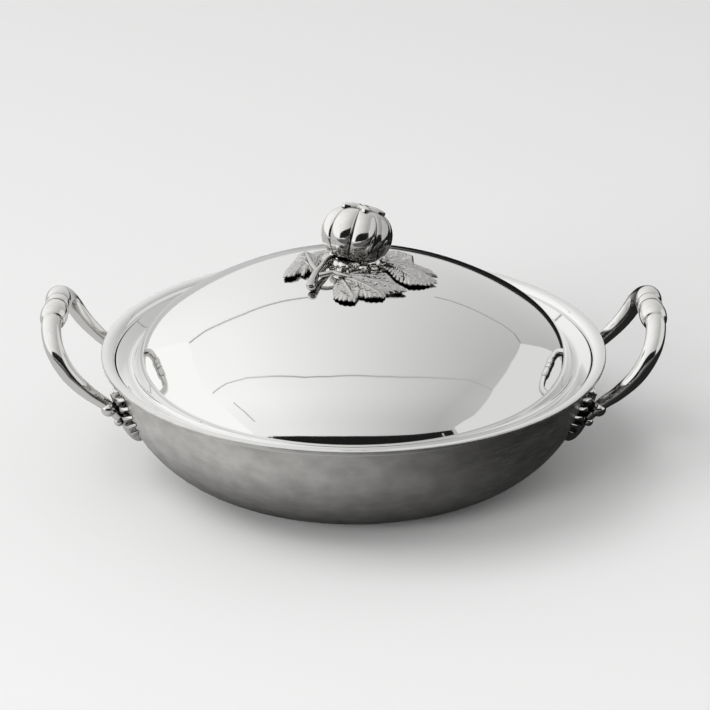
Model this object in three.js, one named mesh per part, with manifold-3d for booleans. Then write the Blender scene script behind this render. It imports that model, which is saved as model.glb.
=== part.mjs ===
// A two-handled stainless wok with a domed lid.
// Millimetres, +Z up. The origin is the middle of the base, on the surface the wok stands on,
// and the handles lie along X.
import * as THREE from 'three';
import { mergeVertices } from 'three/addons/utils/BufferGeometryUtils.js';
import Module from 'manifold-3d';

const wasm = await Module();
wasm.setup();

// Fits
const FIT_GAP = 0.3; // air left between pieces that seat on each other
const HOLE_PLAY = 0.3; // radial play of a shank in its hole
const ROUND_SIDES = 48; // facets round the bowl and the lid
const WALL_STEPS = 7; // facets up the wall of the bowl
const SHANK_SIDES = 8; // facets round rivets, screw and their holes

// Bowl, spun from one clad sheet
const FLAT_RADIUS = 79.5; // flat of the base, outside
const WALL_ARC = 71.5; // outer radius of the rounded wall, from the base up to the neck
const BOWL_SHEET = 2.5;
const FLARE_START = THREE.MathUtils.degToRad(10); // off upright, where the wall turns into its flare
const FLARE_END = THREE.MathUtils.degToRad(20); // and where the flare turns into the lip
const FLARE_ARC = 90; // outer radius of the flare
const LIP_ARC = 3.5; // outer radius of the turned-out lip
const LIP_RUN = 2.7; // level run from the end of the lip arc to the rim edge
const FLARE_STEPS = 2;
const LIP_STEPS = 3;

// Lid, pressed from thinner sheet
const LID_SHEET = 1.2;
const LID_EDGE_INSET = 9.2; // from the rim edge in to the edge of the lid
const LID_FLANGE = 5.8; // width of the flange
const LID_FLANGE_RISE = 3.4; // the flange climbs outwards to the edge
const TROUGH_ARC = 3.5; // radius of the groove between flange and dome
const DOME_RISE = 59.1; // from the edge of the lid to the top of the dome
const CROWN_RADIUS = 209.5; // of the wide top of the dome
const KNUCKLE_RADIUS = 47.3; // of the rounded shoulder
const SKIRT_INSET = 9; // from the edge of the lid in to where the shoulder would stand upright
const DOME_FOOT_TILT = THREE.MathUtils.degToRad(20); // off upright, where the shoulder meets the groove
const CROWN_STEPS = 4; // from the washer out to the shoulder
const KNUCKLE_STEPS = 3;
const TROUGH_STEPS = 2;

// Handle bar: stations of one half, from the wall up to the middle
const BAR_FOOT = { out: -4.6, side: 43, below: 31 }; // out of the neck, off the X axis, below the rim
const BAR_ROOT = { out: 3, side: 44, below: 22.5 };
const BAR_HEEL = { out: 13.5, side: 45, below: 14 };
const BAR_KNEE = { out: 25, side: 45.5, below: 1.5 };
const BAR_SHOULDER = { out: 33, side: 42, below: -14 };
const BAR_BEND = { out: 37, side: 27, below: -25.5 };
const BAR_TOP = { out: 38, side: 0, below: -31 };
const BAR_RADIUS = 6.3; // at the middle
const BAR_FOOT_RADIUS = 4.1;
const BAR_TAPER = 1.5; // power of the taper: most of it lies near the foot
const BULGE_RADIUS = 8.5; // two swellings beside the middle ring
const BULGE_END_RADIUS = 7.3;
const BULGE_LENGTH = 14;
const RING_RADIUS = 8.1;
const RING_WIDTH = 8;
const GROOVE_RADIUS = 6.9;
const GROOVE_WIDTH = 0.9;
const STEP_RUN = 0.01; // length in which a sharp step of the bar's radius is made
const BAR_SIDES = 10;
const BAR_STEPS = 10; // stations along each plain half of the bar

// Leaf at each foot of a handle, cast in one with the bar and lying on the wall
const FOOT_AZIMUTH = THREE.MathUtils.degToRad(16.3);
const FOOT_LEAF_TOP = 3; // along the wall, from the neck down to the upper tip
const FOOT_LEAF_LENGTH = 41;
const FOOT_LEAF_HALF_WIDTH = 13;
const FOOT_LEAF_TIP = 0.6; // half-width of its tips
const FOOT_LEAF_RUN = 0.92; // length of the midrib, as a part of the leaf's: the lowest lobes pass it
// Outline without its notches: a half wave, pushed towards the upper tip and filled out
const FOOT_OUTLINE = { start: 0.06, span: 0.9, push: 0.8, fill: 0.7 };
const FOOT_LEAF_THICK = 4.6; // along the midrib
const FOOT_LEAF_EDGE = 2; // at the ends of the lobes
const FOOT_LEAF_CURL = 4; // how far the upper tip stands off the wall
const FOOT_CURL_PART = 0.25; // part of the leaf that curls
const FOOT_RIB_PART = 1 / 3; // half-width of the midrib, as a part of the leaf's
const FOOT_LOBE_CREST = 0.75; // height of the lobes, as a part of the midrib's
const FOOT_LOBES = 6; // pairs of side lobes
const FOOT_LOBE_CUT = 0.45; // depth of the notches between the lobes, as a part of the width there
const FOOT_LOBE_SWEEP = 0.3; // lobes lean towards the lower tip
const LOBE_RINGS = 4; // rings of points along each lobe
const BERRY_RADIUS = 3.7;
const BERRY_DOWN = 18.5; // along the wall, from the neck
const BERRY_OFF = 8.6; // off the wall
const BEAD_RADIUS = 2.5;
const BEAD_DOWN = 27.5;
const BEAD_OFF = 5.4;

// Rivets that hold each leaf to the wall
const RIVET_SHANK = 2.2; // radius
const RIVET_HEAD = 4.8; // radius
const RIVET_HEAD_RISE = 2;
const RIVET_HEAD_CURVE = [[0, 0], [0.55, 0.15], [0.9, 0.55], [1, 1]]; // parts of its radius and rise
const RIVET_GRIP = 3.2; // length in the leaf
const RIVET_PLACES = { upper: 0.244, lower: 0.683 }; // down the leaf, as a part of its length

// Knob: a ribbed pumpkin on a spray of leaves
const PUMPKIN_RADIUS = 22.7;
const PUMPKIN_HALF_HEIGHT = 17.5;
const PUMPKIN_CENTRE = { right: 2.2, back: 1.5, up: 20 }; // from the top of the dome
const PUMPKIN_LOBES = 8;
const PUMPKIN_GROOVE = 3.4; // depth of the seams between the lobes
const PUMPKIN_CORE = 9; // from the axis to the middle of the ribs, which dip in at crown and foot
const PUMPKIN_LEAN_BACK = THREE.MathUtils.degToRad(17);
const PUMPKIN_LEAN_SIDE = THREE.MathUtils.degToRad(13);
const PUMPKIN_TURN = THREE.MathUtils.degToRad(-10); // a seam lies just left of the front
const PUMPKIN_RIB_END = 0.97; // ribs stop this part of the way to the axis
const SEAM_SHAPE = 0.7; // below 1 the seams are sharp and the ribs round
const PUMPKIN_RINGS = 10;
const LOBE_POINTS = 4; // points across each rib
const CALYX_POINTS = 5;
const CALYX_RADIUS = 14.5;
const CALYX_WAIST = 7;
const CALYX_THICK = 2.6;
const CALYX_SUNK = 0.8; // how deep the calyx sits in the crown of the ribs
const CALYX_HOLLOW = 3.4; // radius of the open middle of the calyx
const SEAT_RADIUS = 12; // collar of the spray, under the pumpkin
const SEAT_RISE = 5.4; // top of the collar over the top of the dome

const LEAF_THICK = 2.6; // spray leaves, at the middle
const LEAF_RIM = 1.6; // and at the edge
const LEAF_LIFT = 2.4; // leaves stand this far off the dome
const LEAF_EDGE_LIFT = 3.4; // and their edges this far
const LEAF_RINGS = [0.05, 0.55, 1]; // from the middle of a leaf to its edge
// Each leaf of the spray from above: its middle, and its edge with tips and notches
const SPRAY_LEAVES = [
  {
    middle: [-28, 1],
    edge: [
      [-23.5, -21], [-26, -16], [-28.3, -12.5], [-31, -18], [-34, -13], [-37, -16.6], [-40.3, -17],
      [-44.2, -16], [-43.6, -7.5], [-40.5, -2], [-39, 3], [-37.6, 10.5], [-34.6, 18.5], [-32, 22],
      [-29, 23], [-26, 18.5], [-22.5, 20.5], [-18, 22], [-12.5, 18], [-7.5, 6.5], [-15.5, -1.5],
      [-18.5, -8], [-21.2, -6.5], [-23, -9.5], [-24.5, -11], [-23, -16.5],
    ],
  },
  {
    middle: [-5, -9],
    edge: [
      [-9, 4], [-12.8, -10], [-9.8, -18], [-8, -22.5], [-5.5, -21.8], [-1.4, -16], [2.7, -9.8],
      [4, -3], [0, 3],
    ],
  },
  {
    middle: [6, -33],
    edge: [
      [-9.6, -26.8], [-12.7, -35.7], [-12.6, -47.3], [-7.7, -51.8], [0.6, -53.2], [3.4, -46.6],
      [8.3, -48.8], [18.8, -47.7], [20.3, -42.6], [33.7, -38.3], [29.5, -34.1], [24, -25.3],
      [20.6, -18.3], [14, -15.5], [8.5, -22.5], [9.4, -12], [2.7, -10.5], [-5, -22.5],
    ],
  },
  {
    middle: [32, -6],
    edge: [
      [17.8, -8.5], [20.6, -13.2], [24.8, -22.1], [29.7, -26.9], [34.6, -29.8], [43.9, -26.5],
      [53, -18.3], [42.5, -11], [54, -10.2], [48.1, -4.5], [38.2, 2.3], [37.9, 20.1], [32.1, 23.8],
      [24.8, 24.5], [14, 14], [8.5, 3], [9.5, -4],
    ],
  },
];
// Stalk of the spray, from the collar to its cut end: [x, y, height over the dome, radius]
const STALK = [
  [-8, 1, 3, 2],
  [-15.5, -3.5, 4.8, 2],
  [-20, -15.5, 4.6, 2.1],
  [-23, -23, 4.5, 2.3],
  [-25.2, -32, 4.2, 2.6],
  [-26.3, -37, 4, 2.9],
];
// Stems that join the stalk to the leaves, given in the same way
const PETIOLES = [
  [
    [-22.5, -21, 4.6, 1.6],
    [-26.3, -9, 4.6, 1.5],
    [-28.6, 4, 4.4, 1.2],
    [-30.4, 15, 4.2, 0.9],
  ],
  [
    [-21, -26, 4.5, 1.6],
    [-17, -26.3, 5.2, 1.5],
    [-12.7, -25.5, 5.4, 1.5],
    [-8.6, -27.5, 4.9, 1.5],
    [-2, -30, 4.2, 1.2],
  ],
];
const STALK_SIDES = 8;

// Screw and washer under the lid
const SCREW_SHANK = 1.6; // radius
const SCREW_HEAD = 4.4; // radius
const SCREW_HEAD_RISE = 3;
const SCREW_CHAMFER = 2; // across the head, and half of it down
const SCREW_GRIP = 11; // length in the pumpkin
const WASHER_RADIUS = 8;
const WASHER_THICK = 1.2;

// Places that follow from the sizes
const QUARTER = Math.PI / 2;
const NECK_RADIUS = FLAT_RADIUS + WALL_ARC; // where the arc of the wall would stand upright
// Middles of the arcs of flare and lip, which both lie outside the wall
const FLARE_MIDDLE = {
  radius: FLAT_RADIUS + (WALL_ARC + FLARE_ARC) * Math.cos(FLARE_START),
  height: WALL_ARC - (WALL_ARC + FLARE_ARC) * Math.sin(FLARE_START),
};
const LIP_MIDDLE = {
  radius: FLARE_MIDDLE.radius - (FLARE_ARC - LIP_ARC) * Math.cos(FLARE_END),
  height: FLARE_MIDDLE.height + (FLARE_ARC - LIP_ARC) * Math.sin(FLARE_END),
};
const RIM_RADIUS = LIP_MIDDLE.radius + LIP_RUN;
const RIM_HEIGHT = LIP_MIDDLE.height + LIP_ARC + BOWL_SHEET;
const LID_EDGE = RIM_RADIUS - LID_EDGE_INSET;
const SKIRT_RADIUS = LID_EDGE - SKIRT_INSET; // where the shoulder would stand upright
const SEAT_TILT = Math.acos((FLARE_MIDDLE.radius - LID_EDGE) / (FLARE_ARC + BOWL_SHEET));
const FLARE_AT_EDGE = FLARE_MIDDLE.height + (FLARE_ARC + BOWL_SHEET) * Math.sin(SEAT_TILT);
const LID_SEAT = FLARE_AT_EDGE + FIT_GAP / Math.sin(SEAT_TILT); // underside of the lid's edge
const DOME_TOP = LID_SEAT + LID_SHEET + DOME_RISE;
const CROWN_MIDDLE = DOME_TOP - CROWN_RADIUS; // height
// Angle off the axis at which the crown passes into the shoulder
const CROWN_END = Math.asin((SKIRT_RADIUS - KNUCKLE_RADIUS) / (CROWN_RADIUS - KNUCKLE_RADIUS));
const KNUCKLE_MIDDLE = {
  radius: SKIRT_RADIUS - KNUCKLE_RADIUS,
  height: CROWN_MIDDLE + (CROWN_RADIUS - KNUCKLE_RADIUS) * Math.cos(CROWN_END),
};
const TROUGH_MIDDLE = {
  radius: KNUCKLE_MIDDLE.radius + (KNUCKLE_RADIUS + TROUGH_ARC) * Math.cos(DOME_FOOT_TILT),
  height: KNUCKLE_MIDDLE.height + (KNUCKLE_RADIUS + TROUGH_ARC) * Math.sin(DOME_FOOT_TILT),
};
const SCREW_HOLE = SCREW_SHANK + HOLE_PLAY;
const RIVET_HOLE = RIVET_SHANK + HOLE_PLAY;
const UP = new THREE.Vector3(0, 0, 1);
// How far the flat facets of the wall stand in from its true curve
const FACET_SAG = NECK_RADIUS * (1 - Math.cos(Math.PI / ROUND_SIDES))
  + WALL_ARC * (1 - Math.cos((QUARTER - FLARE_START) / 2 / WALL_STEPS));

// Height of the crown's outer face, raised by offset along its normal
function domeHeight(radius, offset = 0) {
  return CROWN_MIDDLE + Math.sqrt((CROWN_RADIUS + offset) ** 2 - radius ** 2);
}

// A point off the bowl's wall or its flare; down is measured along the wall, from the neck
function wallPoint(down, azimuth, off) {
  const angle = down / WALL_ARC;
  let reach = FLAT_RADIUS + (WALL_ARC + off) * Math.cos(angle);
  let height = WALL_ARC - (WALL_ARC + off) * Math.sin(angle);
  if (angle < FLARE_START) {
    const tilt = FLARE_START + ((FLARE_START - angle) * WALL_ARC) / FLARE_ARC;
    reach = FLARE_MIDDLE.radius - (FLARE_ARC - off) * Math.cos(tilt);
    height = FLARE_MIDDLE.height + (FLARE_ARC - off) * Math.sin(tilt);
  }
  return new THREE.Vector3(reach * Math.cos(azimuth), reach * Math.sin(azimuth), height);
}

// Geometry helpers

// Points of a profile on an arc round a middle
function arcPoints(middle, arc, from, to, steps) {
  const points = [];
  for (let i = 0; i <= steps; i++) {
    const angle = from + ((to - from) * i) / steps;
    points.push(new THREE.Vector2(
      middle.radius + arc * Math.cos(angle),
      middle.height + arc * Math.sin(angle),
    ));
  }
  return points;
}

// One closed skin: shared corners merged, empty triangles dropped, faces turned out
function weld(geometry) {
  const bare = geometry.clone();
  bare.deleteAttribute('normal');
  bare.deleteAttribute('uv');
  const merged = mergeVertices(bare);
  const place = merged.attributes.position;
  const index = merged.index.array;
  const kept = [];
  const a = new THREE.Vector3();
  const b = new THREE.Vector3();
  const c = new THREE.Vector3();
  let volume = 0;
  for (let i = 0; i < index.length; i += 3) {
    const [p, q, r] = [index[i], index[i + 1], index[i + 2]];
    if (p === q || q === r || r === p) continue;
    kept.push(p, q, r);
    a.fromBufferAttribute(place, p);
    b.fromBufferAttribute(place, q);
    c.fromBufferAttribute(place, r);
    volume += a.dot(b.cross(c));
  }
  merged.setIndex(volume < 0 ? kept.reverse() : kept);
  return merged;
}

function solidOf(geometry) {
  const skin = weld(geometry);
  const vertProperties = new Float32Array(skin.attributes.position.array);
  const triVerts = new Uint32Array(skin.index.array);
  return new wasm.Manifold(new wasm.Mesh({ numProp: 3, vertProperties, triVerts }));
}

function geometryOf(solid) {
  const mesh = solid.getMesh();
  const geometry = new THREE.BufferGeometry();
  geometry.setAttribute('position', new THREE.BufferAttribute(mesh.vertProperties, 3));
  geometry.setIndex(new THREE.BufferAttribute(mesh.triVerts, 1));
  return geometry;
}

function joined(solids) {
  return solids.reduce((sum, solid) => sum.add(solid));
}

// A profile of (radius, height) points turned round Z
function turned(profile, sides) {
  return new THREE.LatheGeometry(profile, sides).rotateX(Math.PI / 2);
}

function rod(radius, from, to, sides) {
  const corners = [[0, from], [radius, from], [radius, to], [0, to]];
  return turned(corners.map(([r, z]) => new THREE.Vector2(r, z)), sides);
}

// A skin over rings of points of equal count, closed at both ends round the middle of the end ring
function loft(rings) {
  const count = rings[0].length;
  const points = rings.flat();
  const faces = [];
  for (let i = 0; i + 1 < rings.length; i++) {
    for (let j = 0; j < count; j++) {
      const next = (j + 1) % count;
      const [a, b] = [i * count + j, i * count + next];
      const [c, d] = [a + count, b + count];
      faces.push(a, b, d, a, d, c);
    }
  }
  for (const end of [0, rings.length - 1]) {
    const middle = new THREE.Vector3();
    rings[end].forEach((point) => middle.addScaledVector(point, 1 / count));
    const hub = points.push(middle) - 1;
    for (let j = 0; j < count; j++) {
      const [a, b] = [end * count + j, end * count + ((j + 1) % count)];
      faces.push(...(end === 0 ? [hub, b, a] : [hub, a, b]));
    }
  }
  const geometry = new THREE.BufferGeometry().setFromPoints(points);
  geometry.setIndex(faces);
  return geometry;
}

// A round bar whose middle line passes through points, with a radius at each
function taperedBar(points, radii, sides, normal) {
  const rings = points.map((point, i) => {
    const ahead = points[Math.min(i + 1, points.length - 1)];
    const behind = points[Math.max(i - 1, 0)];
    const along = new THREE.Vector3().subVectors(ahead, behind).normalize();
    const across = normal.clone().addScaledVector(along, -normal.dot(along)).normalize();
    const third = new THREE.Vector3().crossVectors(along, across);
    return Array.from({ length: sides }, (_, j) => {
      const angle = (2 * Math.PI * j) / sides;
      return point.clone()
        .addScaledVector(across, radii[i] * Math.cos(angle))
        .addScaledVector(third, radii[i] * Math.sin(angle));
    });
  });
  return loft(rings);
}

// Bowl

// One face of the bowl's sheet, at a depth from its outer face, from the flat up to the level run of the lip
function bowlFace(depth) {
  const flat = { radius: FLAT_RADIUS, height: WALL_ARC };
  const [start, end] = [Math.PI - FLARE_START, Math.PI - FLARE_END];
  return [
    ...arcPoints(flat, WALL_ARC - depth, -QUARTER, -FLARE_START, WALL_STEPS),
    ...arcPoints(FLARE_MIDDLE, FLARE_ARC + depth, start, end, FLARE_STEPS).slice(1),
    ...arcPoints(LIP_MIDDLE, LIP_ARC + depth, end, QUARTER, LIP_STEPS).slice(1),
  ];
}

function bowlProfile() {
  return [
    new THREE.Vector2(0, 0),
    ...bowlFace(0),
    new THREE.Vector2(RIM_RADIUS, RIM_HEIGHT - BOWL_SHEET),
    new THREE.Vector2(RIM_RADIUS, RIM_HEIGHT),
    ...bowlFace(BOWL_SHEET).reverse(),
    new THREE.Vector2(0, BOWL_SHEET),
  ];
}

// Turns a shape built along Z so that Z points out of the wall at a rivet
function atRivet(geometry, down, azimuth) {
  const spot = wallPoint(down, azimuth, 0);
  const outward = wallPoint(down, azimuth, 1).sub(spot);
  const turn = new THREE.Quaternion().setFromUnitVectors(UP, outward);
  return geometry.applyQuaternion(turn).translate(spot.x, spot.y, spot.z);
}

// Rivets of one handle, as on the right; the left one is turned half round, which swaps front and rear
function rivetSpots(turnedRound = false) {
  const front = turnedRound ? 1 : -1;
  const spots = [];
  for (const [end, side] of [['front', front], ['rear', -front]]) {
    for (const [level, share] of Object.entries(RIVET_PLACES)) {
      const down = FOOT_LEAF_TOP + share * FOOT_LEAF_LENGTH;
      spots.push({ name: `${end}_${level}`, down, azimuth: side * FOOT_AZIMUTH });
    }
  }
  return spots;
}

function bowlGeometry() {
  const reach = 2 * BOWL_SHEET;
  let bowl = solidOf(turned(bowlProfile(), ROUND_SIDES));
  for (const { down, azimuth } of rivetSpots()) {
    for (const half of [0, Math.PI]) {
      const drill = rod(RIVET_HOLE, -reach, reach, SHANK_SIDES);
      bowl = bowl.subtract(solidOf(atRivet(drill, down, azimuth).rotateZ(half)));
    }
  }
  return geometryOf(bowl);
}

// Handles

function barPoint({ out, side, below }) {
  return new THREE.Vector3(NECK_RADIUS + out, side, RIM_HEIGHT - below);
}

function barCurve() {
  const half = [BAR_FOOT, BAR_ROOT, BAR_HEEL, BAR_KNEE, BAR_SHOULDER, BAR_BEND];
  const front = half.map((station) => barPoint({ ...station, side: -station.side }));
  const rear = half.map(barPoint).reverse();
  return new THREE.CatmullRomCurve3([...front, barPoint(BAR_TOP), ...rear]);
}

// Stations outwards from the middle of the bar, as [distance from the middle, radius]
function barStations(halfLength) {
  const groove = RING_WIDTH / 2;
  const bulge = groove + GROOVE_WIDTH;
  const end = bulge + BULGE_LENGTH;
  const ornament = [
    [groove - STEP_RUN, RING_RADIUS],
    [groove, GROOVE_RADIUS],
    [bulge - STEP_RUN, GROOVE_RADIUS],
    [bulge, BULGE_END_RADIUS],
    [bulge + BULGE_LENGTH / 3, BULGE_RADIUS],
    [bulge + (2 * BULGE_LENGTH) / 3, BULGE_RADIUS],
    [end, BULGE_END_RADIUS],
  ];
  const start = end + STEP_RUN;
  const plain = Array.from({ length: BAR_STEPS + 1 }, (_, i) => {
    const share = i / BAR_STEPS;
    const taper = BAR_RADIUS + (BAR_FOOT_RADIUS - BAR_RADIUS) * share ** BAR_TAPER;
    return [start + (halfLength - start) * share, taper];
  });
  return [...ornament, ...plain];
}

function barGeometry() {
  const curve = barCurve();
  curve.arcLengthDivisions = 600;
  const halfLength = curve.getLength() / 2;
  const half = barStations(halfLength);
  const whole = [...half.map(([far, radius]) => [-far, radius]).reverse(), ...half];
  const points = whole.map(([far]) => curve.getPointAt(0.5 + far / halfLength / 2));
  const rise = barPoint(BAR_TOP).sub(barPoint({ ...BAR_HEEL, side: 0 }));
  const normal = new THREE.Vector3(0, 1, 0).cross(rise).normalize();
  return taperedBar(points, whole.map(([, radius]) => radius), BAR_SIDES, normal);
}

// Half-width of the foot leaf at a distance from its upper tip, notched between the lobes
function footLeafWidth(share) {
  const { start, span, push, fill } = FOOT_OUTLINE;
  const outline = Math.sin(Math.PI * (start + span * share ** push)) ** fill;
  const notch = FOOT_LOBE_CUT * Math.sin(Math.PI * FOOT_LOBES * share) ** 4;
  return Math.max(FOOT_LEAF_TIP, FOOT_LEAF_HALF_WIDTH * outline * (1 - notch));
}

// Height of the upper face over the lower one: a midrib, and a swelling along each lobe
function footLeafHeight(share, part) {
  const rib = Math.max(0, 1 - Math.abs(part) / FOOT_RIB_PART);
  const lobe = FOOT_LOBE_CREST * Math.cos(Math.PI * FOOT_LOBES * share) ** 2 * (1 - part ** 2);
  return FOOT_LEAF_EDGE + (FOOT_LEAF_THICK - FOOT_LEAF_EDGE) * Math.max(rib, lobe);
}

function footLeafGeometry(side) {
  const azimuth = side * FOOT_AZIMUTH;
  const middle = FOOT_LEAF_TOP + FOOT_LEAF_LENGTH / 2;
  const reach = wallPoint(middle, 0, 0).x;
  const across = [-1, -0.7, -0.25, 0, 0.25, 0.7, 1];
  const under = [0.6, 0, -0.6];
  const steps = FOOT_LOBES * LOBE_RINGS;
  const rings = [];
  for (let i = 0; i <= steps; i++) {
    const share = i / steps;
    const width = footLeafWidth(share);
    const curl = FOOT_LEAF_CURL * Math.max(0, 1 - share / FOOT_CURL_PART) ** 2;
    const place = (part, off) => {
      const span = part * width;
      const sweep = FOOT_LOBE_SWEEP * Math.abs(span) * share;
      const down = FOOT_LEAF_TOP + share * FOOT_LEAF_LENGTH * FOOT_LEAF_RUN + sweep;
      return wallPoint(down, azimuth + span / reach, off);
    };
    const top = across.map((part) => place(part, FIT_GAP + footLeafHeight(share, part) + curl));
    rings.push([...top, ...under.map((part) => place(part, FIT_GAP + curl / 2))]);
  }
  return loft(rings);
}

function ball(radius, sides, down, azimuth, off) {
  const spot = wallPoint(down, azimuth, off);
  return new THREE.SphereGeometry(radius, sides, sides - 3).translate(spot.x, spot.y, spot.z);
}

function handleGeometry() {
  const pieces = [barGeometry()];
  for (const side of [-1, 1]) {
    const azimuth = side * FOOT_AZIMUTH;
    pieces.push(footLeafGeometry(side));
    pieces.push(ball(BERRY_RADIUS, 9, BERRY_DOWN, azimuth, BERRY_OFF));
    pieces.push(ball(BEAD_RADIUS, 7, BEAD_DOWN, azimuth, BEAD_OFF));
  }
  let handle = joined(pieces.map(solidOf));
  for (const { down, azimuth } of rivetSpots()) {
    const drill = rod(RIVET_HOLE, -BOWL_SHEET, RIVET_GRIP + 2 * FIT_GAP, SHANK_SIDES);
    handle = handle.subtract(solidOf(atRivet(drill, down, azimuth)));
  }
  return geometryOf(handle);
}

// A rivet, along Z out of the wall: low round head inside the bowl, shank through the wall into the leaf
function rivetGeometry({ down, azimuth }) {
  const innerArc = WALL_ARC - BOWL_SHEET;
  const hollow = RIVET_HEAD ** 2 / (2 * innerArc);
  const seat = -BOWL_SHEET - FIT_GAP - hollow - FACET_SAG;
  const crown = seat - RIVET_HEAD_RISE;
  const corners = [
    ...RIVET_HEAD_CURVE.map(([r, z]) => [RIVET_HEAD * r, crown + RIVET_HEAD_RISE * z]),
    [RIVET_SHANK, seat],
    [RIVET_SHANK, RIVET_GRIP],
    [0, RIVET_GRIP],
  ];
  const profile = corners.map(([r, z]) => new THREE.Vector2(r, z));
  return atRivet(turned(profile, SHANK_SIDES), down, azimuth);
}

// Lid

// One face of the lid's sheet, at a depth from its outer face, from the screw hole out to the edge
function lidFace(depth) {
  const axis = { radius: 0, height: CROWN_MIDDLE };
  const crown = CROWN_RADIUS - depth;
  const hole = QUARTER - Math.asin(SCREW_HOLE / CROWN_RADIUS);
  const washer = QUARTER - Math.asin(WASHER_RADIUS / CROWN_RADIUS);
  const shoulder = QUARTER - CROWN_END;
  const [foot, floor] = [Math.PI + DOME_FOOT_TILT, Math.PI + QUARTER + DOME_FOOT_TILT];
  const edge = LID_SEAT + LID_SHEET - depth;
  return [
    ...arcPoints(axis, crown, hole, washer, 1),
    ...arcPoints(axis, crown, washer, shoulder, CROWN_STEPS).slice(1),
    ...arcPoints(KNUCKLE_MIDDLE, KNUCKLE_RADIUS - depth, shoulder, DOME_FOOT_TILT, KNUCKLE_STEPS).slice(1),
    ...arcPoints(TROUGH_MIDDLE, TROUGH_ARC + depth, foot, floor, TROUGH_STEPS).slice(1),
    new THREE.Vector2(LID_EDGE - LID_FLANGE, edge - LID_FLANGE_RISE),
    new THREE.Vector2(LID_EDGE, edge),
  ];
}

function lidProfile() {
  const outer = lidFace(0);
  return [...outer, ...lidFace(LID_SHEET).reverse(), outer[0].clone()];
}

// Knob

function pumpkinGeometry() {
  const around = PUMPKIN_LOBES * LOBE_POINTS;
  const swell = PUMPKIN_RADIUS - PUMPKIN_CORE;
  const last = PUMPKIN_RIB_END * Math.acos(-PUMPKIN_CORE / swell);
  const rings = [];
  for (let i = 0; i <= PUMPKIN_RINGS; i++) {
    const polar = last * ((2 * i) / PUMPKIN_RINGS - 1);
    const girth = PUMPKIN_CORE + swell * Math.cos(polar);
    const height = PUMPKIN_HALF_HEIGHT * Math.sin(polar);
    rings.push(Array.from({ length: around }, (_, j) => {
      const angle = (2 * Math.PI * j) / around;
      const seam = 1 - Math.abs(Math.sin((PUMPKIN_LOBES * angle) / 2)) ** SEAM_SHAPE;
      const radius = girth * (1 - (PUMPKIN_GROOVE * seam) / PUMPKIN_RADIUS);
      return new THREE.Vector3(radius * Math.cos(angle), radius * Math.sin(angle), height);
    }));
  }
  return loft(rings);
}

function calyxGeometry() {
  const star = new THREE.Shape();
  for (let i = 0; i < 2 * CALYX_POINTS; i++) {
    const angle = (Math.PI * i) / CALYX_POINTS;
    const radius = i % 2 ? CALYX_WAIST : CALYX_RADIUS;
    const corner = [radius * Math.cos(angle), radius * Math.sin(angle)];
    if (i === 0) star.moveTo(...corner);
    else star.lineTo(...corner);
  }
  star.holes.push(new THREE.Path().absarc(0, 0, CALYX_HOLLOW, 0, 2 * Math.PI, true));
  const flat = { depth: CALYX_THICK, bevelEnabled: false, curveSegments: SHANK_SIDES };
  return new THREE.ExtrudeGeometry(star, flat).translate(0, 0, PUMPKIN_HALF_HEIGHT - CALYX_SUNK);
}

function knobGeometry() {
  const lean = new THREE.Euler(-PUMPKIN_LEAN_BACK, PUMPKIN_LEAN_SIDE, PUMPKIN_TURN);
  const { right, back, up } = PUMPKIN_CENTRE;
  const centre = new THREE.Vector3(right, back, DOME_TOP + up);
  const place = new THREE.Matrix4().makeRotationFromEuler(lean).setPosition(centre);
  const whole = solidOf(pumpkinGeometry()).add(solidOf(calyxGeometry()));
  const fruit = solidOf(geometryOf(whole).applyMatrix4(place));
  const seat = DOME_TOP + SEAT_RISE + FIT_GAP;
  const below = rod(2 * PUMPKIN_RADIUS, seat - 2 * PUMPKIN_RADIUS, seat, SHANK_SIDES);
  const drill = rod(SCREW_HOLE, seat - FIT_GAP, seat + SCREW_GRIP + FIT_GAP, SHANK_SIDES);
  return geometryOf(fruit.subtract(solidOf(below)).subtract(solidOf(drill)));
}

function sprayPoint(x, y, over) {
  return new THREE.Vector3(x, y, domeHeight(Math.hypot(x, y), FIT_GAP + over));
}

// Rings run from the middle of the upper face out over the edge and back to the middle beneath
function sprayLeafGeometry({ middle, edge }) {
  const [x, y] = middle;
  const ring = (share, over) => edge.map(([edgeX, edgeY]) => (
    sprayPoint(x + (edgeX - x) * share, y + (edgeY - y) * share, over)
  ));
  const lift = (share) => LEAF_LIFT + (LEAF_EDGE_LIFT - LEAF_LIFT) * share ** 2;
  const thick = (share) => LEAF_THICK + (LEAF_RIM - LEAF_THICK) * share;
  const upper = LEAF_RINGS.map((share) => ring(share, lift(share) + thick(share)));
  const lower = LEAF_RINGS.map((share) => ring(share, lift(share))).reverse();
  return loft([...upper, ...lower]);
}

function stalkGeometry(stations) {
  const points = stations.map(([x, y, over]) => sprayPoint(x, y, over));
  return taperedBar(points, stations.map(([, , , radius]) => radius), STALK_SIDES, UP);
}

function collarGeometry() {
  const steps = 3;
  const under = Array.from({ length: steps + 1 }, (_, i) => {
    const radius = (SEAT_RADIUS * i) / steps;
    return new THREE.Vector2(radius, domeHeight(radius, FIT_GAP));
  });
  const top = DOME_TOP + SEAT_RISE;
  const profile = [...under, new THREE.Vector2(SEAT_RADIUS, top), new THREE.Vector2(0, top)];
  return turned(profile, 2 * SHANK_SIDES);
}

function sprayGeometry() {
  const pieces = [collarGeometry()];
  pieces.push(...SPRAY_LEAVES.map(sprayLeafGeometry));
  pieces.push(...[STALK, ...PETIOLES].map(stalkGeometry));
  const spray = joined(pieces.map(solidOf));
  const drill = rod(SCREW_HOLE, DOME_TOP - SEAT_RISE, DOME_TOP + 2 * SEAT_RISE, SHANK_SIDES);
  return geometryOf(spray.subtract(solidOf(drill)));
}

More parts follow.
